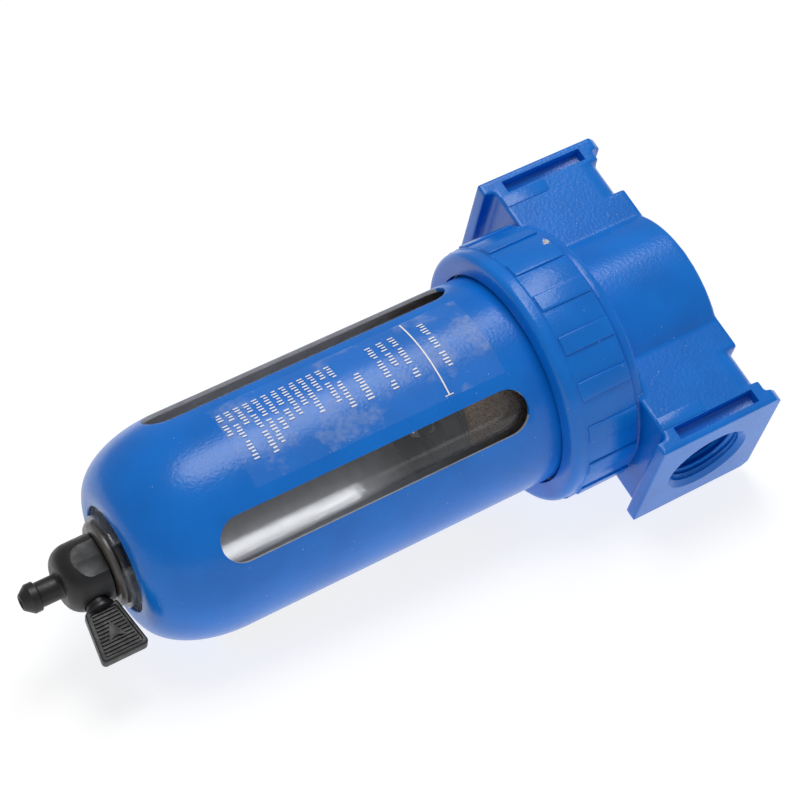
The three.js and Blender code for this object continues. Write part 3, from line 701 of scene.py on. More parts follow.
@dataclass(frozen=True)
class Printed:
    """White screen-printed ink on the label film."""

    name: str = "label_ink"
    colour: Colour = (0.97, 0.98, 1.0)
    thin: Colour = (0.75, 0.85, 0.97)

    def mix(self) -> bpy.types.Material:
        """Makes the material."""
        recipe = Recipe(self.name)
        recipe.set(Roughness=0.45)
        worn = recipe.ramp(recipe.noise(0.8, 3), 0.3, 0.42)
        recipe.wire(recipe.blend(worn, self.thin, self.colour), "Base Color")
        recipe.bump((recipe.noise(0.4, 2), 0.005, 0.5))
        return recipe.material


class Palette:
    """One material of each finish on the object."""

    def __init__(self) -> None:
        """Mixes all the finishes."""
        self.enamel = Enamel().mix()
        self.black = Moulded("black_acetal", (0.008, 0.0082, 0.0092), 0.42, depth=0.035).mix()
        self.grey = Moulded("grey_nylon", (0.075, 0.068, 0.062), 0.32, grain=0.5, depth=0.01).mix()
        self.rubber = Moulded("nitrile_rubber", (0.012, 0.012, 0.013), 0.6).mix()
        self.clear = Clear("clear_polycarbonate", (0.86, 0.88, 0.9), 0.05).mix()
        self.film = Film().mix()
        self.ink = Printed().mix()
        self.bronze = Sinter().mix()
        self.zinc = Metal("zinc_plated_steel", (0.62, 0.64, 0.67)).mix()
        self.brass = Metal("plain_brass", (0.72, 0.53, 0.25)).mix()
        self.bare = Metal("bare_sheet", (0.62, 0.63, 0.69), 0.38, 0.45).mix()


# --------------------------------------------------------------- common ground
@dataclass(frozen=True)
class Envelope:
    """Box of a CAD node in millimetres."""

    low: Vector
    high: Vector

    @classmethod
    def of(cls, node: str) -> "Envelope":
        """Reads the box of a CAD node."""
        low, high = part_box(node)
        return cls(low / MM, high / MM)

    @property
    def top(self) -> float:
        """Highest Z."""
        return self.high.z

    @property
    def bottom(self) -> float:
        """Lowest Z."""
        return self.low.z

    @property
    def middle(self) -> float:
        """Height halfway between bottom and top."""
        return (self.top + self.bottom) / 2

    @property
    def half_height(self) -> float:
        """Half the height: for an O-ring, the radius of its section."""
        return (self.top - self.bottom) / 2

    @property
    def radius(self) -> float:
        """Radius of a node that is turned about Z."""
        return self.high.x


def deliver(
    obj: bpy.types.Object, body: str, slot: str, materials: Sequence[bpy.types.Material],
    *nodes: str,
) -> bpy.types.Object:
    """Dresses a finished piece and hands it to the frame.

    Args:
        obj: the piece, with its place in its mesh.
        body: CAD body that it moves with.
        slot: name of its material slot; not used.
        materials: its materials; faces already hold their indices.
        nodes: CAD nodes that it stands for.

    Returns:
        The piece.
    """
    while len(obj.data.materials) < len(materials):
        obj.data.materials.append(None)
    for i, material in enumerate(materials):
        obj.data.materials[i] = material
    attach(obj, body)
    if nodes:
        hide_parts(*nodes)
    LOG.info("%s rides on %s with %d faces", obj.name, body, len(obj.data.polygons))
    return obj


# --------------------------------------------------------------- head casting
@dataclass
class FilterHead:
    """Cast head with two tapped ports, clamp flanges and a threaded spigot."""

    palette: Palette
    shell: Envelope = field(default_factory=lambda: Envelope.of("filter_head"))
    flange: float = 3.6
    chamfer: float = 2.0
    arm_height: float = 15.5
    arm_corner: float = 5.5
    collar: float = 3.4
    shoulder: float = 27.0
    barrel: float = 26.0
    head_top: float = 16.4
    bead: tuple[float, float, float] = (34.0, -13.4, -16.9)
    spigot: float = 30.5
    spigot_bore: float = 27.1
    spigot_length: float = 12.1
    spigot_pitch: float = 2.0
    seat: float = -19.6
    boss: tuple[float, float, float] = (10.5, 6.2, -20.0)
    gallery: tuple[float, float] = (22.0, 9.0)
    pocket: tuple[float, float, float, float] = (24.5, 3.8, 3.2, 1.8)
    pad_rise: float = 0.18
    thread_crest: float = 9.32
    thread_root: float = 10.48
    thread_pitch: float = 1.814
    thread_depth: float = 16.0
    sink: float = 1.32
    passage: float = 8.0
    passage_wall: float = 10.2
    passage_roof: float = 13.0
    stud_hole: float = 2.8
    voxel: float = 0.42

    @property
    def face(self) -> float:
        """Half the length over the port faces."""
        return self.shell.high.x

    @property
    def half(self) -> float:
        """Half the side of a flange."""
        return self.shell.top

    def side(self) -> bpy.types.Object:
        """Makes the arm, collar rib, flange and marking pad towards +X."""
        h, top, start = self.half, self.arm_height, self.face - self.flange
        r = self.arm_corner
        arm = prism(
            "arm", rounded([(-h, -top, 0.5), (h, -top, 0.5), (h, top, r), (-h, top, r)], 8),
            0, start + 0.2, Axis.X,
        )
        rib = prism(
            "rib", rounded([(-h, -top, 0.4), (h, -top, 0.4), (h, top + 0.2, 0.9),
                            (-h, top + 0.2, 0.9)]), start - self.collar, start + 0.2, Axis.X,
        )
        c = self.chamfer
        plate = prism(
            "plate", rounded([(-h, -h, 0.6), (h, -h, 0.6), (h, h - c, 0.5), (h - c, h, 0.5),
                              (-h + c, h, 0.5), (-h, h - c, 0.5)]), start, self.face, Axis.X,
        )
        fillet = prism(
            "fillet", [(start - 1.6, -top + 0.2), (start - 1.6, -top), (start - 0.5, -top - 0.35),
                       (start, -top - 1.6), (start + 0.2, -top - 1.6), (start + 0.2, -top + 0.2)],
            -h + 0.4, h - 0.4, Axis.Y,
        )
        work(arm, Join.ADD, rib, plate, fillet)
        return arm

    def crisp(self, body: bpy.types.Object) -> None:
        """Adds the marking pads and cuts the clamp pockets, which keep their edges.

        Args:
            body: the softened casting.
        """
        length, width, depth, setback = self.pocket
        h, top = self.half, self.arm_height
        pad_end = self.face - setback - width
        pad = prism(
            "pad", rounded([(pad_end - 4.0, -top + 0.6, 0.3), (pad_end - 0.3, -top + 0.6, 0.3),
                            (pad_end - 0.3, -1.5, 0.3), (pad_end - 4.0, -1.5, 1.3)]),
            -h - self.pad_rise, -h + 0.4, Axis.Y,
        )
        round_edges(pad, 0.12, 2, 60)
        work(body, Join.ADD, mirrored(pad), pad)
        for y in (-h, h):
            inner = y + math.copysign(depth, -y)
            pocket = block(
                "pocket", (pad_end, min(inner, y * 1.1), -length / 2),
                (self.face - setback, max(inner, y * 1.1), length / 2),
            )
            round_edges(pocket, 0.25, 2, 60)
            work(body, Join.CUT, mirrored(pocket), pocket)

    def casting(self) -> bpy.types.Object:
        """Joins the outer form and softens it as casting and paint do."""
        radius, top, bottom = self.bead
        body = turned(
            "filter_head_body",
            [(0, bottom), (radius - 0.6, bottom), (radius, bottom + 0.6), (radius, top - 1),
             (radius - 0.3, top - 0.35), (radius - 1, top), (self.barrel, top),
             (self.barrel, self.head_top - 0.8), (self.barrel - 0.8, self.head_top),
             (0, self.head_top)],
            160,
        )
        w, h = self.shoulder, self.half
        shoulder = prism(
            "shoulder", rounded([(-w, -h, 0.7), (w, -h, 0.7), (w, h, 0.7), (-w, h, 0.7)]),
            -self.arm_height, self.head_top,
        )
        right = self.side()
        left = mirrored(right)
        work(body, Join.ADD, shoulder, right, left)
        shape(body, "REMESH", mode="VOXEL", voxel_size=self.voxel * MM, use_smooth_shade=True)
        shape(body, "SMOOTH", factor=0.5, iterations=5)
        shape(body, "DECIMATE", ratio=0.42)
        self.crisp(body)
        return body

    def port(self) -> list[tuple[bpy.types.Object, Join]]:
        """Makes the bore, the thread ridge and the mouth of the port towards +X."""
        face, start = self.face, self.face - self.thread_depth
        mouth = self.thread_root + self.sink
        cutter = turned(
            "port_cutter",
            [(0, 12), (self.passage, 12), (self.passage, start), (self.thread_root, start + 1.2),
             (self.thread_root, face - self.sink), (mouth - 0.12, face - 0.25), (mouth + 0.15, face),
             (mouth + 0.15, face + 1), (0, face + 1)],
            96, Axis.X,
        )
        crest, root = self.thread_crest, self.thread_root + 0.2
        first = start + 1.6
        section = [(root, first - 0.8), (crest, first - 0.17), (crest, first + 0.17),
                   (root, first + 0.8)]
        turns = (face - self.sink + 0.4 - first) / self.thread_pitch
        ridge = coil("port_thread", section, self.thread_pitch, turns, Axis.X, 72)
        step = face - self.sink
        throat = turned(
            "throat",
            [(0, step - 2.4), (crest - 0.1, step - 2.4), (self.thread_root, step - 0.7),
             (self.thread_root, step), (mouth - 0.12, face - 0.25), (mouth + 0.15, face),
             (mouth + 0.15, face + 1), (0, face + 1)],
            96, Axis.X,
        )
        return [(cutter, Join.CUT), (ridge, Join.ADD), (throat, Join.CUT)]

    def hollow(self, body: bpy.types.Object) -> None:
        """Cuts the gallery, the bowl seat, the outlet passage and the stud hole."""
        boss, bore, foot = self.boss
        wide, roof = self.gallery
        gallery = tube("gallery", boss, wide, self.seat - 1, roof)
        work(gallery, Join.CUT, tube("wall", 0, self.passage_wall, 0, self.barrel, 64, Axis.X))
        outlet = tube("outlet", 0, self.passage, 0, self.passage_roof, 64, Axis.X)
        stud_top = self.passage_roof + 0.5
        centre = turned(
            "centre", [(0, foot - 1), (bore, foot - 1), (bore, 0), (self.stud_hole, 0),
                       (self.stud_hole, stud_top), (0, stud_top)], 64,
        )
        work(body, Join.CUT, gallery, outlet, centre)

    def spigot_tool(self) -> bpy.types.Object:
        """Makes the threaded spigot and the outlet boss that stands in it."""
        rim = self.bead[2]
        foot = rim - self.spigot_length
        boss, bore, boss_foot = self.boss
        web = self.gallery[0] - 2
        root, crest = self.spigot - 0.9, self.spigot
        spigot = turned(
            "spigot",
            [(self.spigot_bore, self.seat), (self.spigot_bore, foot + 0.5),
             (self.spigot_bore + 0.5, foot), (root - 0.4, foot), (root, foot + 0.4),
             (root, rim + 0.3), (web, rim + 0.3), (web, self.seat)],
            128,
        )
        first = foot + 1.4
        section = [(root - 0.2, first - 0.85), (root - 0.2, first + 0.85), (crest, first + 0.28),
                   (crest, first - 0.28)]
        turns = (rim - 1.6 - first) / self.spigot_pitch
        ridge = coil("spigot_thread", section, self.spigot_pitch, turns, Axis.Z, 96)
        tube = turned(
            "boss", [(bore, boss_foot), (boss - 0.3, boss_foot), (boss, boss_foot + 0.3),
                     (boss, rim + 2), (bore, rim + 2)], 96,
        )
        work(spigot, Join.ADD, ridge, tube)
        return spigot

    def build(self) -> None:
        """Makes the head and hands it over."""
        body = self.casting()
        work(body, Join.ADD, self.spigot_tool())
        self.hollow(body)
        for tool, join in self.port():
            hold(tool)
            bpy.ops.object.duplicate(linked=False)
            opposite = bpy.context.object
            opposite.data.transform(Matrix.Rotation(math.pi, 4, "Z"))
            work(body, join, tool, opposite)
        smooth(body, 38)
        deliver(body, "head", "blue_paint", [self.palette.enamel], "filter_head")


# --------------------------------------------------------------- ring nut
@dataclass
class RingNut:
    """Retaining ring with raised grip pads and an inner lip."""

    palette: Palette
    shell: Envelope = field(default_factory=lambda: Envelope.of("retaining_ring"))
    pad_rise: float = 0.5
    collar_drop: float = 0.3
    collar: float = 4.2
    edge: float = 2.0
    lip: float = 2.3
    hole: float = 29.4
    bore: float = 30.9
    pads: int = 18
    pad_width: float = 7.9
    phase: float = 0.9

    def pad(self, radius: float, bottom: float, top: float) -> bpy.types.Object:
        """Makes one raised pad at the front."""
        half, middle = self.pad_width / 2, self.phase - 90
        outline = [
            *arc((0, 0), (radius - 0.8, radius - 0.8), middle + half, middle - half, 6),
            *arc((0, 0), (radius, radius), middle - half, middle + half, 6),
        ]
        pad = prism("pad", outline, bottom, top)
        round_edges(pad, 0.3, 3, 60)
        return pad

    def build(self) -> None:
        """Makes the ring nut and hands it over."""
        top, bottom = self.shell.top, self.shell.bottom
        outside = max(self.shell.radius, -self.shell.low.y)
        grip = outside - self.pad_rise
        smooth_part = grip - self.collar_drop
        grip_end, lip_top, e = bottom + self.collar, bottom + self.lip, self.edge
        body = turned(
            "ring_nut",
            [(self.bore + 0.5, top), (grip - 0.5, top), (grip - 0.12, top - 0.12), (grip, top - 0.5),
             (grip, grip_end + 0.2), (grip - 0.06, grip_end), (smooth_part, grip_end - 0.35),
             *arc((smooth_part - e, bottom + e), (e, e), 0, -90, 8),
             (self.hole + 0.4, bottom), (self.hole + 0.1, bottom + 0.1), (self.hole, bottom + 0.4),
             (self.hole, lip_top), (self.bore, lip_top), (self.bore, top - 0.5)],
            180,
        )
        pads = spun_copies(self.pad(outside, grip_end + 0.1, top - 0.25), self.pads, 360 / self.pads)
        work(body, Join.ADD, *pads)
        smooth(body, 32)
        deliver(body, "ring", "blue_paint", [self.palette.enamel], "retaining_ring")
        washer = Envelope.of("thrust_washer")
        plate = tube("thrust_plate", self.hole, washer.radius, washer.bottom, washer.top)
        round_edges(plate, 0.12)
        smooth(plate)
        deliver(plate, "bowl_assembly", "zinc_steel", [self.palette.zinc], "thrust_washer")


# --------------------------------------------------------------- guard and bowl
@dataclass
class BowlGuard:
    """Deep-drawn guard with sight slots and the label film stuck on it."""

    palette: Palette
    shell: Envelope = field(default_factory=lambda: Envelope.of("bowl_guard"))
    film: Envelope = field(default_factory=lambda: Envelope.of("guard_label"))
    flange_proud: float = 1.5
    wall: float = 1.0
    corner: tuple[float, float] = (12.8, 23.7)
    hole: float = 14.3
    slots: int = 4
    slot_angle: float = 39.5
    slot_width: float = 12.0
    slot_ends: tuple[float, float] = (11.4, 18.5)
    label_angles: tuple[float, float] = (-31.0, 20.0)
    film_gap: float = 0.1
    film_face: float = 0.18
    ink_thickness: float = 0.03
    ink_start: float = -24.0
    word_gap: float = 2.0
    dash: float = 0.75
    dash_gap: float = 1.15

    @property
    def radius(self) -> float:
        """Outer radius of the wall."""
        return self.shell.radius - self.flange_proud

    def build(self) -> None:
        """Makes the guard and the label and hands them over."""
        top, bottom, r, w = self.shell.top, self.shell.bottom, self.radius, self.wall
        cr, cz = self.corner
        centre = (r - cr, bottom + cz)
        straight = [top - 2 - (top - 2 - centre[1]) * i / 22 for i in range(23)]
        outer = [(r, z) for z in straight[:-1]] + arc(centre, (cr, cz), 0, -90, 28)
        inner = arc(centre, (cr - w, cz - w), -90, 0, 28) + [(r - w, z) for z in straight[-2::-1]]
        body = turned(
            "guard_shell",
            [(r - w, top), (self.shell.radius - 0.2, top), (self.shell.radius, top - 0.2),
             (self.shell.radius, top - w), (r + 0.3, top - w), (r, top - w - 0.3), *outer,
             (self.hole + 0.25, bottom), (self.hole, bottom + 0.25), (self.hole, bottom + w), *inner],
            200,
        )
        half = self.slot_width / 2
        high, low = top - self.slot_ends[0] - half, bottom + self.slot_ends[1] + half
        outline = [*arc((0, high), (half, half), 0, 180, 20), *arc((0, low), (half, half), 180, 360, 20)]
        cutter = prism("slot", outline, -r - 3, -r + 5, Axis.Y)
        cutter.data.transform(Matrix.Rotation(math.radians(self.slot_angle), 4, "Z"))
        work(body, Join.CUT, *spun_copies(cutter, self.slots, 360 / self.slots))
        round_edges(body, 0.22, 2, 55)
        smooth(body, 32)
        bare = [f for f in body.data.polygons if self.is_inside(f)]
        deliver(body, "bowl_assembly", "blue_paint", [self.palette.enamel, self.palette.bare],
                "bowl_guard")
        for face in bare:
            face.material_index = 1
        self.label()

    def is_inside(self, face: bpy.types.MeshPolygon) -> bool:
        """Tells whether a face belongs to the unpainted inner wall."""
        spot, out = face.center / MM, face.normal
        return spot.x * out.x + spot.y * out.y < -0.05 * self.radius and (
            math.hypot(spot.x, spot.y) > self.hole + 0.6)

    def strip(self, name: str, radii: Flat, angles: Flat, levels: Flat) -> bpy.types.Object:
        """Makes a thin curved strip.

        Args:
            name: name of the strip.
            radii: inner and outer radius.
            angles: from and to, in degrees from the front towards +X.
            levels: bottom and top.

        Returns:
            The strip.
        """
        steps = max(2, round(abs(angles[1] - angles[0]) / 1.8))
        start, end = angles[0] - 90, angles[1] - 90
        outline = [
            *arc((0, 0), (radii[1], radii[1]), start, end, steps),
            *arc((0, 0), (radii[0], radii[0]), end, start, steps),
        ]
        return prism(name, outline, *levels)

    def label(self) -> None:
        """Makes the film with its level line and rows of plain bars."""
        r = self.radius
        film = self.strip("label_film", (r + self.film_gap, r + self.film_face),
                          self.label_angles, (self.film.bottom, self.film.top))
        ink = self.bars(r + self.film_face)
        hold(film)
        film.data.materials.append(self.palette.film)
        film.data.materials.append(self.palette.ink)
        for bar in ink:
            bar.data.materials.append(self.palette.film)
            bar.data.materials.append(self.palette.ink)
            for face in bar.data.polygons:
                face.material_index = 1
            bar.select_set(True)
        bpy.context.view_layer.objects.active = film
        bpy.ops.object.join()
        smooth(film, 30)
        deliver(film, "bowl_assembly", "label_film", [self.palette.film, self.palette.ink],
                "guard_label")

    def bars(self, r: float) -> list[bpy.types.Object]:
        """Makes the printed line and the rows of dashes that stand where lettering would.

        Args:
            r: radius of the film's outer face.

        Returns:
            The printed pieces.
        """
        ink = (r, r + self.ink_thickness)
        bars = [
            self.strip("level", ink, (-30, 18.6), (-62.2, -61.8)),
            self.strip("level_end", ink, (18.2, 18.7), (-63.2, -60.8)),
        ]
        margin = self.ink_start
        rows = [(-57.2, margin, 1.7, (9, 8, 10))]
        rows += [(-66.0 - 3.3 * i, margin, 1.6, words)
                 for i, words in enumerate(((7, 12, 5), (7, 9), (9, 11, 5)))]
        rows += [(-79.4, margin / 2, 1.9, (18,))]
        lines = ((10, 17), (8, 14), (13,), (24,), (18,), (21,), (12, 8), (15, 8), (13, 16),
                 (7, 9, 13), (14,), (8, 9, 12), (6, 8))
        rows += [(-84.5 - 2.55 * i, margin, 1.45, words) for i, words in enumerate(lines)]
        for level, start, height, words in rows:
            for word in words:
                count = max(2, round(word / (self.dash + self.dash_gap)))
                for i in range(count):
                    left = start + i * (self.dash + self.dash_gap)
                    tall = height * (1.0 if (i * 7 + count) % 3 else 0.72)
                    bars.append(
                        self.strip("dash", ink, (left, left + self.dash), (level - tall, level))
                    )
                start += word + self.word_gap
        return bars


@dataclass
class ClearBowl:
    """Polycarbonate bowl with its O-ring."""

    palette: Palette
    shell: Envelope = field(default_factory=lambda: Envelope.of("bowl"))
    ring: Envelope = field(default_factory=lambda: Envelope.of("bowl_oring"))
    radius: float = 26.0
    wall: float = 3.2
    neck: float = 26.75
    flange: tuple[float, float] = (-29.3, -31.7)
    floor: tuple[float, float] = (-147.3, -142.7)
    corner: float = 22.0
    boss: float = 12.4
    hole: float = 5.3

    def build(self) -> None:
        """Makes the bowl and its O-ring and hands them over."""
        r, bore, (under, floor) = self.radius, self.radius - self.wall, self.floor
        centre = under + self.corner
        rise = r - self.boss - 1.6
        outer = arc((r - rise, centre), (rise, self.corner), 0, -90, 20)
        inner = arc((bore - rise + 2, centre), (rise - 2, centre - floor), -90, 0, 20)
        seat, section = self.ring.middle, self.ring.half_height
        half = section + 0.4
        root = self.neck - 2 * section - 0.35
        top, rim = self.flange
        body = turned(
            "bowl_shell",
            [(bore + 0.5, self.shell.top), (self.neck - 0.6, self.shell.top),
             (self.neck, self.shell.top - 0.6), (self.neck, seat + half), (root, seat + half),
             (root, seat - half), (self.neck, seat - half), (self.neck, top),
             (self.shell.radius - 0.3, top), (self.shell.radius, top - 0.3),
             (self.shell.radius, rim), (r, rim), (r, rim - 20), (r, rim - 45), (r, rim - 70), *outer,
             (self.boss, under), (self.boss, self.shell.bottom + 0.3),
             (self.boss - 0.3, self.shell.bottom), (self.hole, self.shell.bottom),
             (self.hole, floor), *inner, (bore, rim - 70), (bore, rim - 45), (bore, rim - 20),
             (bore, self.shell.top - 0.5)],
            128,
        )
        smooth(body, 30)
        deliver(body, "bowl_assembly", "clear_polycarbonate", [self.palette.clear], "bowl")
        o_ring = round_ring("bowl_o_ring", self.ring.radius - section, section, seat)
        deliver(o_ring, "bowl_assembly", "black_rubber", [self.palette.rubber], "bowl_oring")


def round_ring(name: str, radius: float, section: float, level: float) -> bpy.types.Object:
    """Turns an O-ring about Z.

    Args:
        name: name of the ring.
        radius: of the middle of its section.
        section: radius of the section.
        level: its height.

    Returns:
        The ring.
    """
    outline = arc((radius, level), (section, section), 0, 360 - 22.5, 15)
    ring = turned(name, outline, 96)
    smooth(ring, 60)
    return ring


# --------------------------------------------------------------- element stack
@dataclass
class ElementStack:
    """Swirl vanes, sintered element, seals, baffle and the stud that holds them."""

    palette: Palette
    vanes: int = 10
    vane_angle: float = 34.0
    hub: float = 10.5
    bore: float = 6.2
    stud_hole: float = 2.8
    cup_wall: float = 4.0
    seal_width: float = 3.0

    def ring(self, node: str, hole: float, edge: float, slot: str,
             material: bpy.types.Material) -> None:
        """Makes a flat ring in a node's place.

        Args:
            node: the CAD node.
            hole: radius of its hole.
            edge: rounding of its edges.
            slot: material slot.
            material: its finish.
        """
        box = Envelope.of(node)
        piece = tube(f"{node}_ring", hole, box.radius, box.bottom, box.top)
        round_edges(piece, edge, 3)
        smooth(piece)
        deliver(piece, "head", slot, [material], node)

    def swirl(self) -> None:
        """Makes the ring of pitched vanes."""
        box = Envelope.of("swirl_deflector")
        hub_bottom = box.top - 1.8
        inside = box.radius - 1.2
        body = tube("swirl_vanes", self.bore, self.hub, hub_bottom, box.top)
        rim = tube("rim", inside, box.radius, box.bottom, box.top)
        vane = block("vane", (self.hub - 0.8, -2.1, -0.4), (inside + 0.8, 2.1, 0.4))
        level = (box.top - 1.5) * MM
        vane.data.transform(Matrix.Rotation(math.radians(self.vane_angle), 4, "X"))
        vane.data.transform(Matrix.Translation((0, 0, level)))
        work(body, Join.ADD, rim, *spun_copies(vane, self.vanes, 360 / self.vanes))
        round_edges(body, 0.12, 2, 50)
        smooth(body)
        deliver(body, "head", "black_plastic", [self.palette.black], "swirl_deflector")

    def element(self) -> None:
        """Makes the sintered cup, open below."""
        box = Envelope.of("filter_element")
        r, inner, roof = box.radius, box.radius - self.cup_wall, box.top - self.cup_wall
        levels = [box.top - 0.9 - (box.top - box.bottom - 1.4) * i / 12 for i in range(13)]
        cup = turned(
            "sintered_cup",
            [(self.bore, box.top), (r - 0.9, box.top), *[(r, z) for z in levels],
             (r - 0.5, box.bottom), (inner, box.bottom), (inner, roof), (self.bore, roof)], 120,
        )
        round_edges(cup, 0.3, 3, 50)
        smooth(cup)
        deliver(cup, "head", "sintered_bronze", [self.palette.bronze], "filter_element")

    def umbrella(self) -> None:
        """Makes the baffle under the element."""
        box = Envelope.of("baffle")
        r, flat, under = box.radius, box.radius - 3.5, box.top - 2
        shell = turned(
            "baffle_umbrella",
            [(self.stud_hole, box.top), *rounded([(flat, box.top, 1.2), (r, box.top - 2, 0.9),
             (r, box.bottom, 0.4), (r - 1.4, box.bottom, 0.4), (r - 1.4, under - 1.4, 0.6),
             (flat - 1, under, 0.6)], 4), (self.stud_hole, under)], 120,
        )
        smooth(shell, 30)
        deliver(shell, "head", "black_plastic", [self.palette.black], "baffle")

    def stud(self) -> None:
        """Makes the stud with its thread, the washer and the hexagon nut."""
        box = Envelope.of("element_stud")
        r = box.radius
        rod = turned(
            "element_rod", [(0, box.bottom), (r - 1, box.bottom), (r - 0.4, box.bottom + 0.6),
                            (r - 0.4, box.top - 0.5), (r - 0.9, box.top), (0, box.top)], 48,
        )
        for start, turns in ((box.bottom + 1, 14.0), (box.top - 10, 11.0)):
            section = [(r - 0.6, start - 0.33), (r - 0.6, start + 0.33), (r, start + 0.06),
                       (r, start - 0.06)]
            work(rod, Join.ADD, coil("stud_thread", section, 0.8, turns, Axis.Z, 32))
        smooth(rod)
        deliver(rod, "head", "zinc_steel", [self.palette.zinc], "element_stud")
        nut = Envelope.of("stud_nut")
        body = hex_nut("element_nut", nut.radius, self.stud_hole, nut.bottom, nut.top)
        deliver(body, "head", "zinc_steel", [self.palette.zinc], "stud_nut")

    def build(self) -> None:
        """Makes the whole stack and hands it over."""
        self.swirl()
        self.element()
        self.umbrella()
        self.stud()
        palette = self.palette
        self.ring("stud_washer", self.stud_hole, 0.15, "zinc_steel", palette.zinc)
        self.ring("upper_seal", self.bore, 0.25, "black_rubber", palette.rubber)
        lower = Envelope.of("lower_seal")
        self.ring("lower_seal", lower.radius - self.seal_width, 0.25, "black_rubber", palette.rubber)


def hex_nut(name: str, radius: float, hole: float, bottom: float, top: float) -> bpy.types.Object:
    """Makes a hexagon nut with turned corners.

    Args:
        name: name of the nut.
        radius: over its corners.
        hole: radius of its hole.
        bottom: lower face.
        top: upper face.

    Returns:
        The nut.
    """
    nut = prism(name, arc((0, 0), (radius, radius), 0, 300, 5), bottom, top)
    slope = 0.12 * radius
    cone = turned(
        "cone", [(0, bottom), (radius - slope, bottom), (radius + 0.1, bottom + 0.6 * slope),
                 (radius + 0.1, top - 0.6 * slope), (radius - slope, top), (0, top)], 64,
    )
    work(nut, Join.KEEP, cone)
    bore = turned(
        "bore", [(0, bottom - 1), (hole + 1, bottom - 1), (hole + 0.4, bottom), (hole, bottom + 0.4),
                 (hole, top - 0.4), (hole + 0.4, top), (hole + 1, top + 1), (0, top + 1)], 48,
    )
    work(nut, Join.CUT, bore)
    smooth(nut, 30)
    return nut


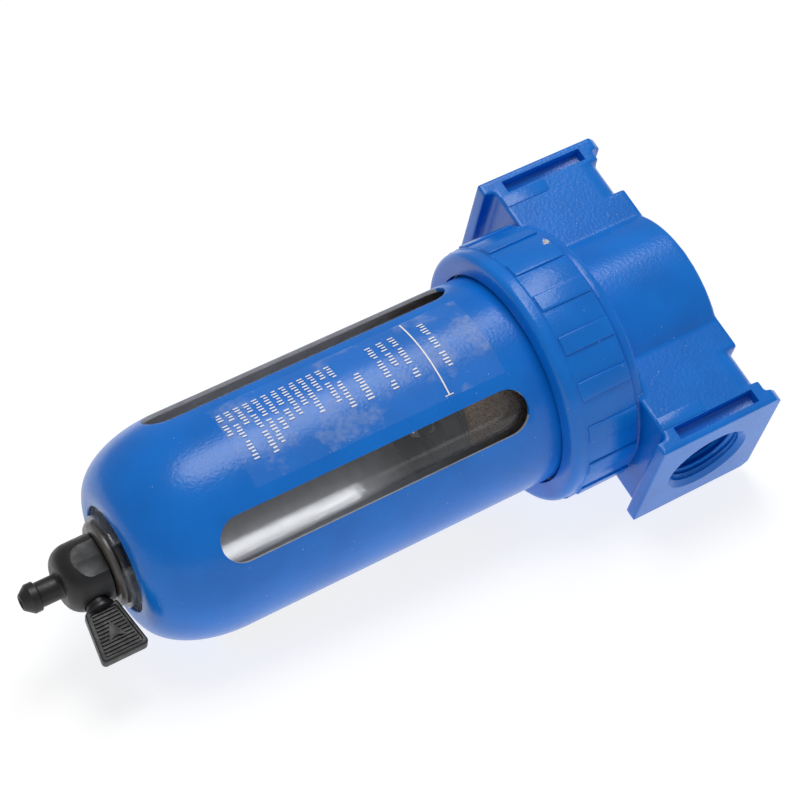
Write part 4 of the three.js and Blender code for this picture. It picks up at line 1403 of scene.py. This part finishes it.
# --------------------------------------------------------------- drain cock
@dataclass
class DrainCock:
    """Quarter-turn drain with its hose barb, washer, seals, nut, plug and lever."""

    palette: Palette
    shell: Envelope = field(default_factory=lambda: Envelope.of("drain_body"))
    washer: Envelope = field(default_factory=lambda: Envelope.of("drain_washer"))
    lever: Envelope = field(default_factory=lambda: Envelope.of("drain_lever"))
    plug: Envelope = field(default_factory=lambda: Envelope.of("drain_plug"))
    radius: float = 8.9
    barrel: float = 6.2
    dome: float = 5.4
    neck: float = 3.25
    neck_end: float = -169.3
    barb: float = 3.85
    tip: float = 2.2
    bore: float = 1.4
    stem: float = 5.0
    hole: float = 5.3
    flat_depth: float = 0.75
    flat_width: float = 9.4
    flat_lean: float = 9.0
    ribs: int = 12
    rib_width: float = 0.4
    rim: float = 1.0
    recess: float = 0.55
    wing_half: float = 1.7
    wing_tip: float = 6.3
    wing_root: float = 4.4
    spindle_bore: float = 1.2
    seal_place: float = 5.6

    @property
    def axis(self) -> float:
        """Height of the plug's axis."""
        return self.lever.middle

    def body(self) -> None:
        """Makes the cock's body."""
        top = self.washer.bottom - 0.3
        end, r = self.shell.bottom, self.radius
        dome_top = top - self.barrel
        groove = Envelope.of("drain_oring").middle
        fillet = 1.1
        outline = [
            (0, end), (self.tip - 0.2, end), (self.tip, end + 0.2), (self.barb - 0.25, end + 2.0),
            (self.barb, end + 2.35), (self.barb, self.neck_end - 0.75),
            (self.barb - 0.15, self.neck_end - 0.6),
            (self.neck + 0.1, self.neck_end - 0.5), (self.neck, self.neck_end - 0.3),
            *[(self.neck + fillet - x, z) for x, z in
              arc((0, dome_top - self.dome - fillet + 0.35), (fillet, fillet), 0, 80, 6)],
            *arc((self.neck + fillet, dome_top), (r - self.neck - fillet, self.dome), -78, 0, 22),
            (r, top - 0.35), (r - 0.35, top), (self.stem, top), (self.stem, groove - 1.1),
            (self.stem - 1.6, groove - 1.1), (self.stem - 1.6, groove + 1.1), (self.stem, groove + 1.1),
            (self.stem, self.shell.top - 0.5), (self.stem - 0.5, self.shell.top), (0, self.shell.top),
        ]
        cock = turned("drain_cock", outline, 120)
        half, low = self.flat_width / 2, dome_top - 1.4
        window = [(half, top + 1), (-half, top + 1),
                  *arc((0, low + half * 0.7), (half, half * 0.7), 180, 360, 20)]
        for turned_by in (0.0, math.pi):
            flat = prism("flat", window, -r - 1, -r + 4, Axis.Y)
            lean = math.tan(math.radians(self.flat_lean)) * (half + 1)
            ridge = prism(
                "ridge", [(-half - 1, -r + self.flat_depth + lean), (0, -r + self.flat_depth),
                          (half + 1, -r + self.flat_depth + lean), (half + 1, r), (-half - 1, r)],
                low - 9, top + 2,
            )
            work(flat, Join.CUT, ridge)
            flat.data.transform(Matrix.Rotation(turned_by, 4, "Z"))
            work(cock, Join.CUT, flat)
        socket = tube("socket", 0, 3.3, self.plug.low.x - 0.3, r + 1, 64, Axis.X,
                      Vector((0, 0, self.axis)))
        bore = turned("bore", [(0, end - 1), (self.bore + 0.6, end - 1), (self.bore + 0.3, end),
                               (self.bore, end + 0.4), (self.bore, self.shell.top + 1),
                               (0, self.shell.top + 1)], 40)
        work(cock, Join.CUT, socket, bore)
        round_edges(cock, 0.16, 2, 45)
        smooth(cock, 35)
        deliver(cock, "bowl_assembly", "black_plastic", [self.palette.black], "drain_body")

    def wing(self) -> None:
        """Makes the ribbed lever and the plug that it turns."""
        box, middle = self.lever, self.axis
        x0, x1 = box.low.x, box.high.x
        half, tip, root = self.wing_half, self.wing_tip, self.wing_root
        corners = [(x0, middle - root, 0.8), (x1, middle - tip, 1.1), (x1, middle + tip, 1.1),
                   (x0, middle + root, 0.8)]
        wing = prism("drain_wing", rounded(corners, 5), -half, half, Axis.Y)
        round_edges(wing, 0.35, 3, 60)
        rim = self.rim
        root_in, tip_in = root - rim + 0.15, tip - rim
        panel = rounded([(x0 + rim, middle - root_in, 0.5), (x1 - rim, middle - tip_in, 0.7),
                         (x1 - rim, middle + tip_in, 0.7), (x0 + rim, middle + root_in, 0.5)], 4)
        floor = half - self.recess
        for side in (-1, 1):
            sunk = prism("sunk", panel, *sorted((side * floor, side * (half + 1))), Axis.Y)
            work(wing, Join.CUT, sunk)
        span = x1 - x0 - 2 * rim
        for i in range(self.ribs):
            x = x0 + rim + span * (i + 0.5) / self.ribs
            reach = root_in + (tip_in - root_in) * (x - x0 - rim) / span - 0.45
            rib = prism(
                "rib", [(x - self.rib_width / 2, -half + 0.12), (x - self.rib_width / 2, half - 0.12),
                        (x + self.rib_width / 2, half - 0.12), (x + self.rib_width / 2, -half + 0.12)],
                middle - reach, middle + reach,
            )
            work(wing, Join.ADD, rib)
        arrow = prism("arrow", [(x0 + 4.4, middle), (x0 + 9.2, middle - 2.4), (x0 + 8.2, middle),
                                (x0 + 9.2, middle + 2.4)], -half + 0.05, half - 0.05, Axis.Y)
        hub = turned("hub", [(0, x0 - 0.75), (3.3, x0 - 0.75), (3.7, x0 - 0.45), (3.7, x0 + 0.5),
                             (2.6, x0 + 1.0), (0, x0 + 1.0)], 64, Axis.X, Vector((0, 0, middle)))
        work(wing, Join.ADD, arrow, hub)
        round_edges(wing, 0.07, 1, 50)
        smooth(wing, 30)
        deliver(wing, "drain_valve", "black_plastic", [self.palette.black], "drain_lever")
        start, end = self.plug.low.x, x0 - 0.8
        seal = Envelope.of("plug_oring")
        groove = self.seal_place
        plug = turned(
            "drain_spindle",
            [(0, start), (2.6, start), (3, start + 0.4), (3, groove - 0.75), (2, groove - 0.75),
             (2, groove + 0.75), (3, groove + 0.75), (3, end), (0, end)],
            64, Axis.X, Vector((0, 0, middle)),
        )
        port = tube("port", 0, self.spindle_bore, middle - 4, middle + 4, 32)
        work(plug, Join.CUT, port)
        smooth(plug)
        deliver(plug, "drain_valve", "black_plastic", [self.palette.black], "drain_plug")
        ring = round_ring("spindle_o_ring", 2.6, (seal.high.x - seal.low.x) / 2, 0)
        ring.data.transform(Matrix.Rotation(math.pi / 2, 4, "Y"))
        ring.data.transform(Matrix.Translation((groove * MM, 0, middle * MM)))
        deliver(ring, "drain_valve", "black_rubber", [self.palette.rubber], "plug_oring")

    def fastening(self) -> None:
        """Makes the washer below the bowl, the seals and the nut inside it."""
        box = self.washer
        r, mid = box.radius, box.middle
        plate = turned(
            "drain_plate",
            [(self.hole, box.bottom), (r - 1.1, box.bottom), (r - 0.5, box.bottom + 0.2),
             (r, mid - 0.1), (r, box.top - 0.25), (r - 0.25, box.top), (self.hole, box.top)], 120,
        )
        smooth(plate, 40)
        deliver(plate, "bowl_assembly", "grey_nylon", [self.palette.grey], "drain_washer")
        seal = Envelope.of("drain_oring")
        section = seal.half_height
        ring = round_ring("stem_o_ring", seal.radius - section, section, seal.middle)
        deliver(ring, "bowl_assembly", "black_rubber", [self.palette.rubber], "drain_oring")
        gasket = Envelope.of("drain_gasket")
        disc = tube("floor_gasket", self.hole, gasket.radius, gasket.bottom, gasket.top)
        round_edges(disc, 0.25, 3)
        smooth(disc)
        deliver(disc, "bowl_assembly", "black_rubber", [self.palette.rubber], "drain_gasket")
        nut = Envelope.of("drain_nut")
        body = hex_nut("floor_nut", nut.radius, self.hole, nut.bottom, nut.top)
        deliver(body, "bowl_assembly", "plain_brass", [self.palette.brass], "drain_nut")

    def build(self) -> None:
        """Makes the whole drain and hands it over."""
        self.body()
        self.wing()
        self.fastening()


# --------------------------------------------------------------- studio
@dataclass
class Studio:
    """Camera, pale table and soft lights round the filter lying on its back."""

    azimuth: float = 22.6
    elevation: float = -20.27
    distance: float = 629.7
    roll: float = 65.127
    target: tuple[float, float, float] = (-6.536, 0.0, -62.783)
    lens: float = 109.78
    up: tuple[float, float, float] = (-0.4447, -0.8938, 0.0574)
    rest_point: tuple[float, float, float] = (16.05, 32.3, -32.3)
    table: float = 4000.0
    table_glow: float = 0.8
    room: float = 0.34

    def axes(self) -> tuple[Vector, Vector, Vector]:
        """Gives the camera's right, up and backward directions."""
        a, e, roll = (math.radians(v) for v in (self.azimuth, self.elevation, self.roll))
        back = Vector((math.sin(a) * math.cos(e), -math.cos(a) * math.cos(e), math.sin(e)))
        across = Vector((0, 0, 1)).cross(back).normalized()
        upward = back.cross(across)
        right = across * math.cos(roll) + upward * math.sin(roll)
        return right, upward * math.cos(roll) - across * math.sin(roll), back

    def camera(self) -> None:
        """Places the camera."""
        right, up, back = self.axes()
        data = bpy.data.cameras.new("studio_camera")
        data.lens = self.lens
        data.sensor_width = 36.0
        data.clip_start, data.clip_end = 0.05, 20.0
        camera = bpy.data.objects.new("studio_camera", data)
        bpy.context.scene.collection.objects.link(camera)
        turn = Matrix((right, up, back)).transposed().to_4x4()
        spot = (Vector(self.target) + back * self.distance) * MM
        camera.matrix_world = Matrix.Translation(spot) @ turn
        bpy.context.scene.camera = camera

    def soft_box(self, name: str, offset: tuple[float, float, float], size: Flat,
                 power: float) -> None:
        """Hangs an oval light that faces the filter.

        Args:
            name: name of the light.
            offset: millimetres to the camera's right, up and towards it from the target.
            size: its width and height in millimetres.
            power: watts.
        """
        right, up, back = self.axes()
        data = bpy.data.lights.new(name, "AREA")
        data.shape = "ELLIPSE"
        data.size, data.size_y = size[0] * MM, size[1] * MM
        data.energy = power
        light = bpy.data.objects.new(name, data)
        bpy.context.scene.collection.objects.link(light)
        target = Vector(self.target)
        spot = target + right * offset[0] + up * offset[1] + back * offset[2]
        light.location = spot * MM
        light.rotation_mode = "QUATERNION"
        light.rotation_quaternion = (target - spot).to_track_quat("-Z", "Y")

    def floor(self) -> None:
        """Lays the table under the filter, seen only from the filter's side."""
        up = Vector(self.up).normalized()
        release()
        bpy.ops.mesh.primitive_grid_add(size=self.table * MM, x_subdivisions=2, y_subdivisions=2)
        table = bpy.context.object
        table.name = "table"
        turn = up.to_track_quat("Z", "Y").to_matrix().to_4x4()
        middle = Vector(self.target)
        middle -= up * (middle - Vector(self.rest_point)).dot(up)
        table.data.transform(Matrix.Translation(middle * MM) @ turn)
        recipe = Recipe("table_paper")
        recipe.set(Base_Color=(0.3, 0.3, 0.3, 1), Roughness=0.9, Specular_IOR_Level=0.1)
        recipe.set(Emission_Color=(1, 1, 1, 1), Emission_Strength=self.table_glow)
        tree = recipe.tree
        side = tree.nodes.new("ShaderNodeNewGeometry")
        clear = tree.nodes.new("ShaderNodeBsdfTransparent")
        mix = tree.nodes.new("ShaderNodeMixShader")
        tree.links.new(side.outputs["Backfacing"], mix.inputs[0])
        tree.links.new(recipe.shader.outputs[0], mix.inputs[1])
        tree.links.new(clear.outputs[0], mix.inputs[2])
        tree.links.new(mix.outputs[0], tree.nodes["Material Output"].inputs["Surface"])
        table.data.materials.append(recipe.material)

    def world(self) -> None:
        """Fills the room with even pale light."""
        world = bpy.data.worlds.new("studio_room")
        world.use_nodes = True
        background = world.node_tree.nodes["Background"]
        background.inputs["Color"].default_value = (1.0, 1.0, 1.0, 1)
        background.inputs["Strength"].default_value = self.room
        bpy.context.scene.world = world
        bpy.context.scene.view_settings.view_transform = "Standard"

    def build(self) -> None:
        """Sets the whole studio up."""
        self.camera()
        self.world()
        self.floor()
        self.soft_box("key_box", (14, 736, 518), (460, 460), 3.4)
        self.soft_box("back_box", (100, 864, 234), (240, 240), 0.8)


def main() -> None:
    """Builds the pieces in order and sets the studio."""
    logging.basicConfig(level=logging.INFO, format="%(name)s: %(message)s")
    palette = Palette()
    for part in (FilterHead(palette), RingNut(palette), BowlGuard(palette), ClearBowl(palette),
                 ElementStack(palette), DrainCock(palette)):
        part.build()
        LOG.info("%s is finished", type(part).__name__)
    Studio().build()


if __name__ == "__main__":
    main()
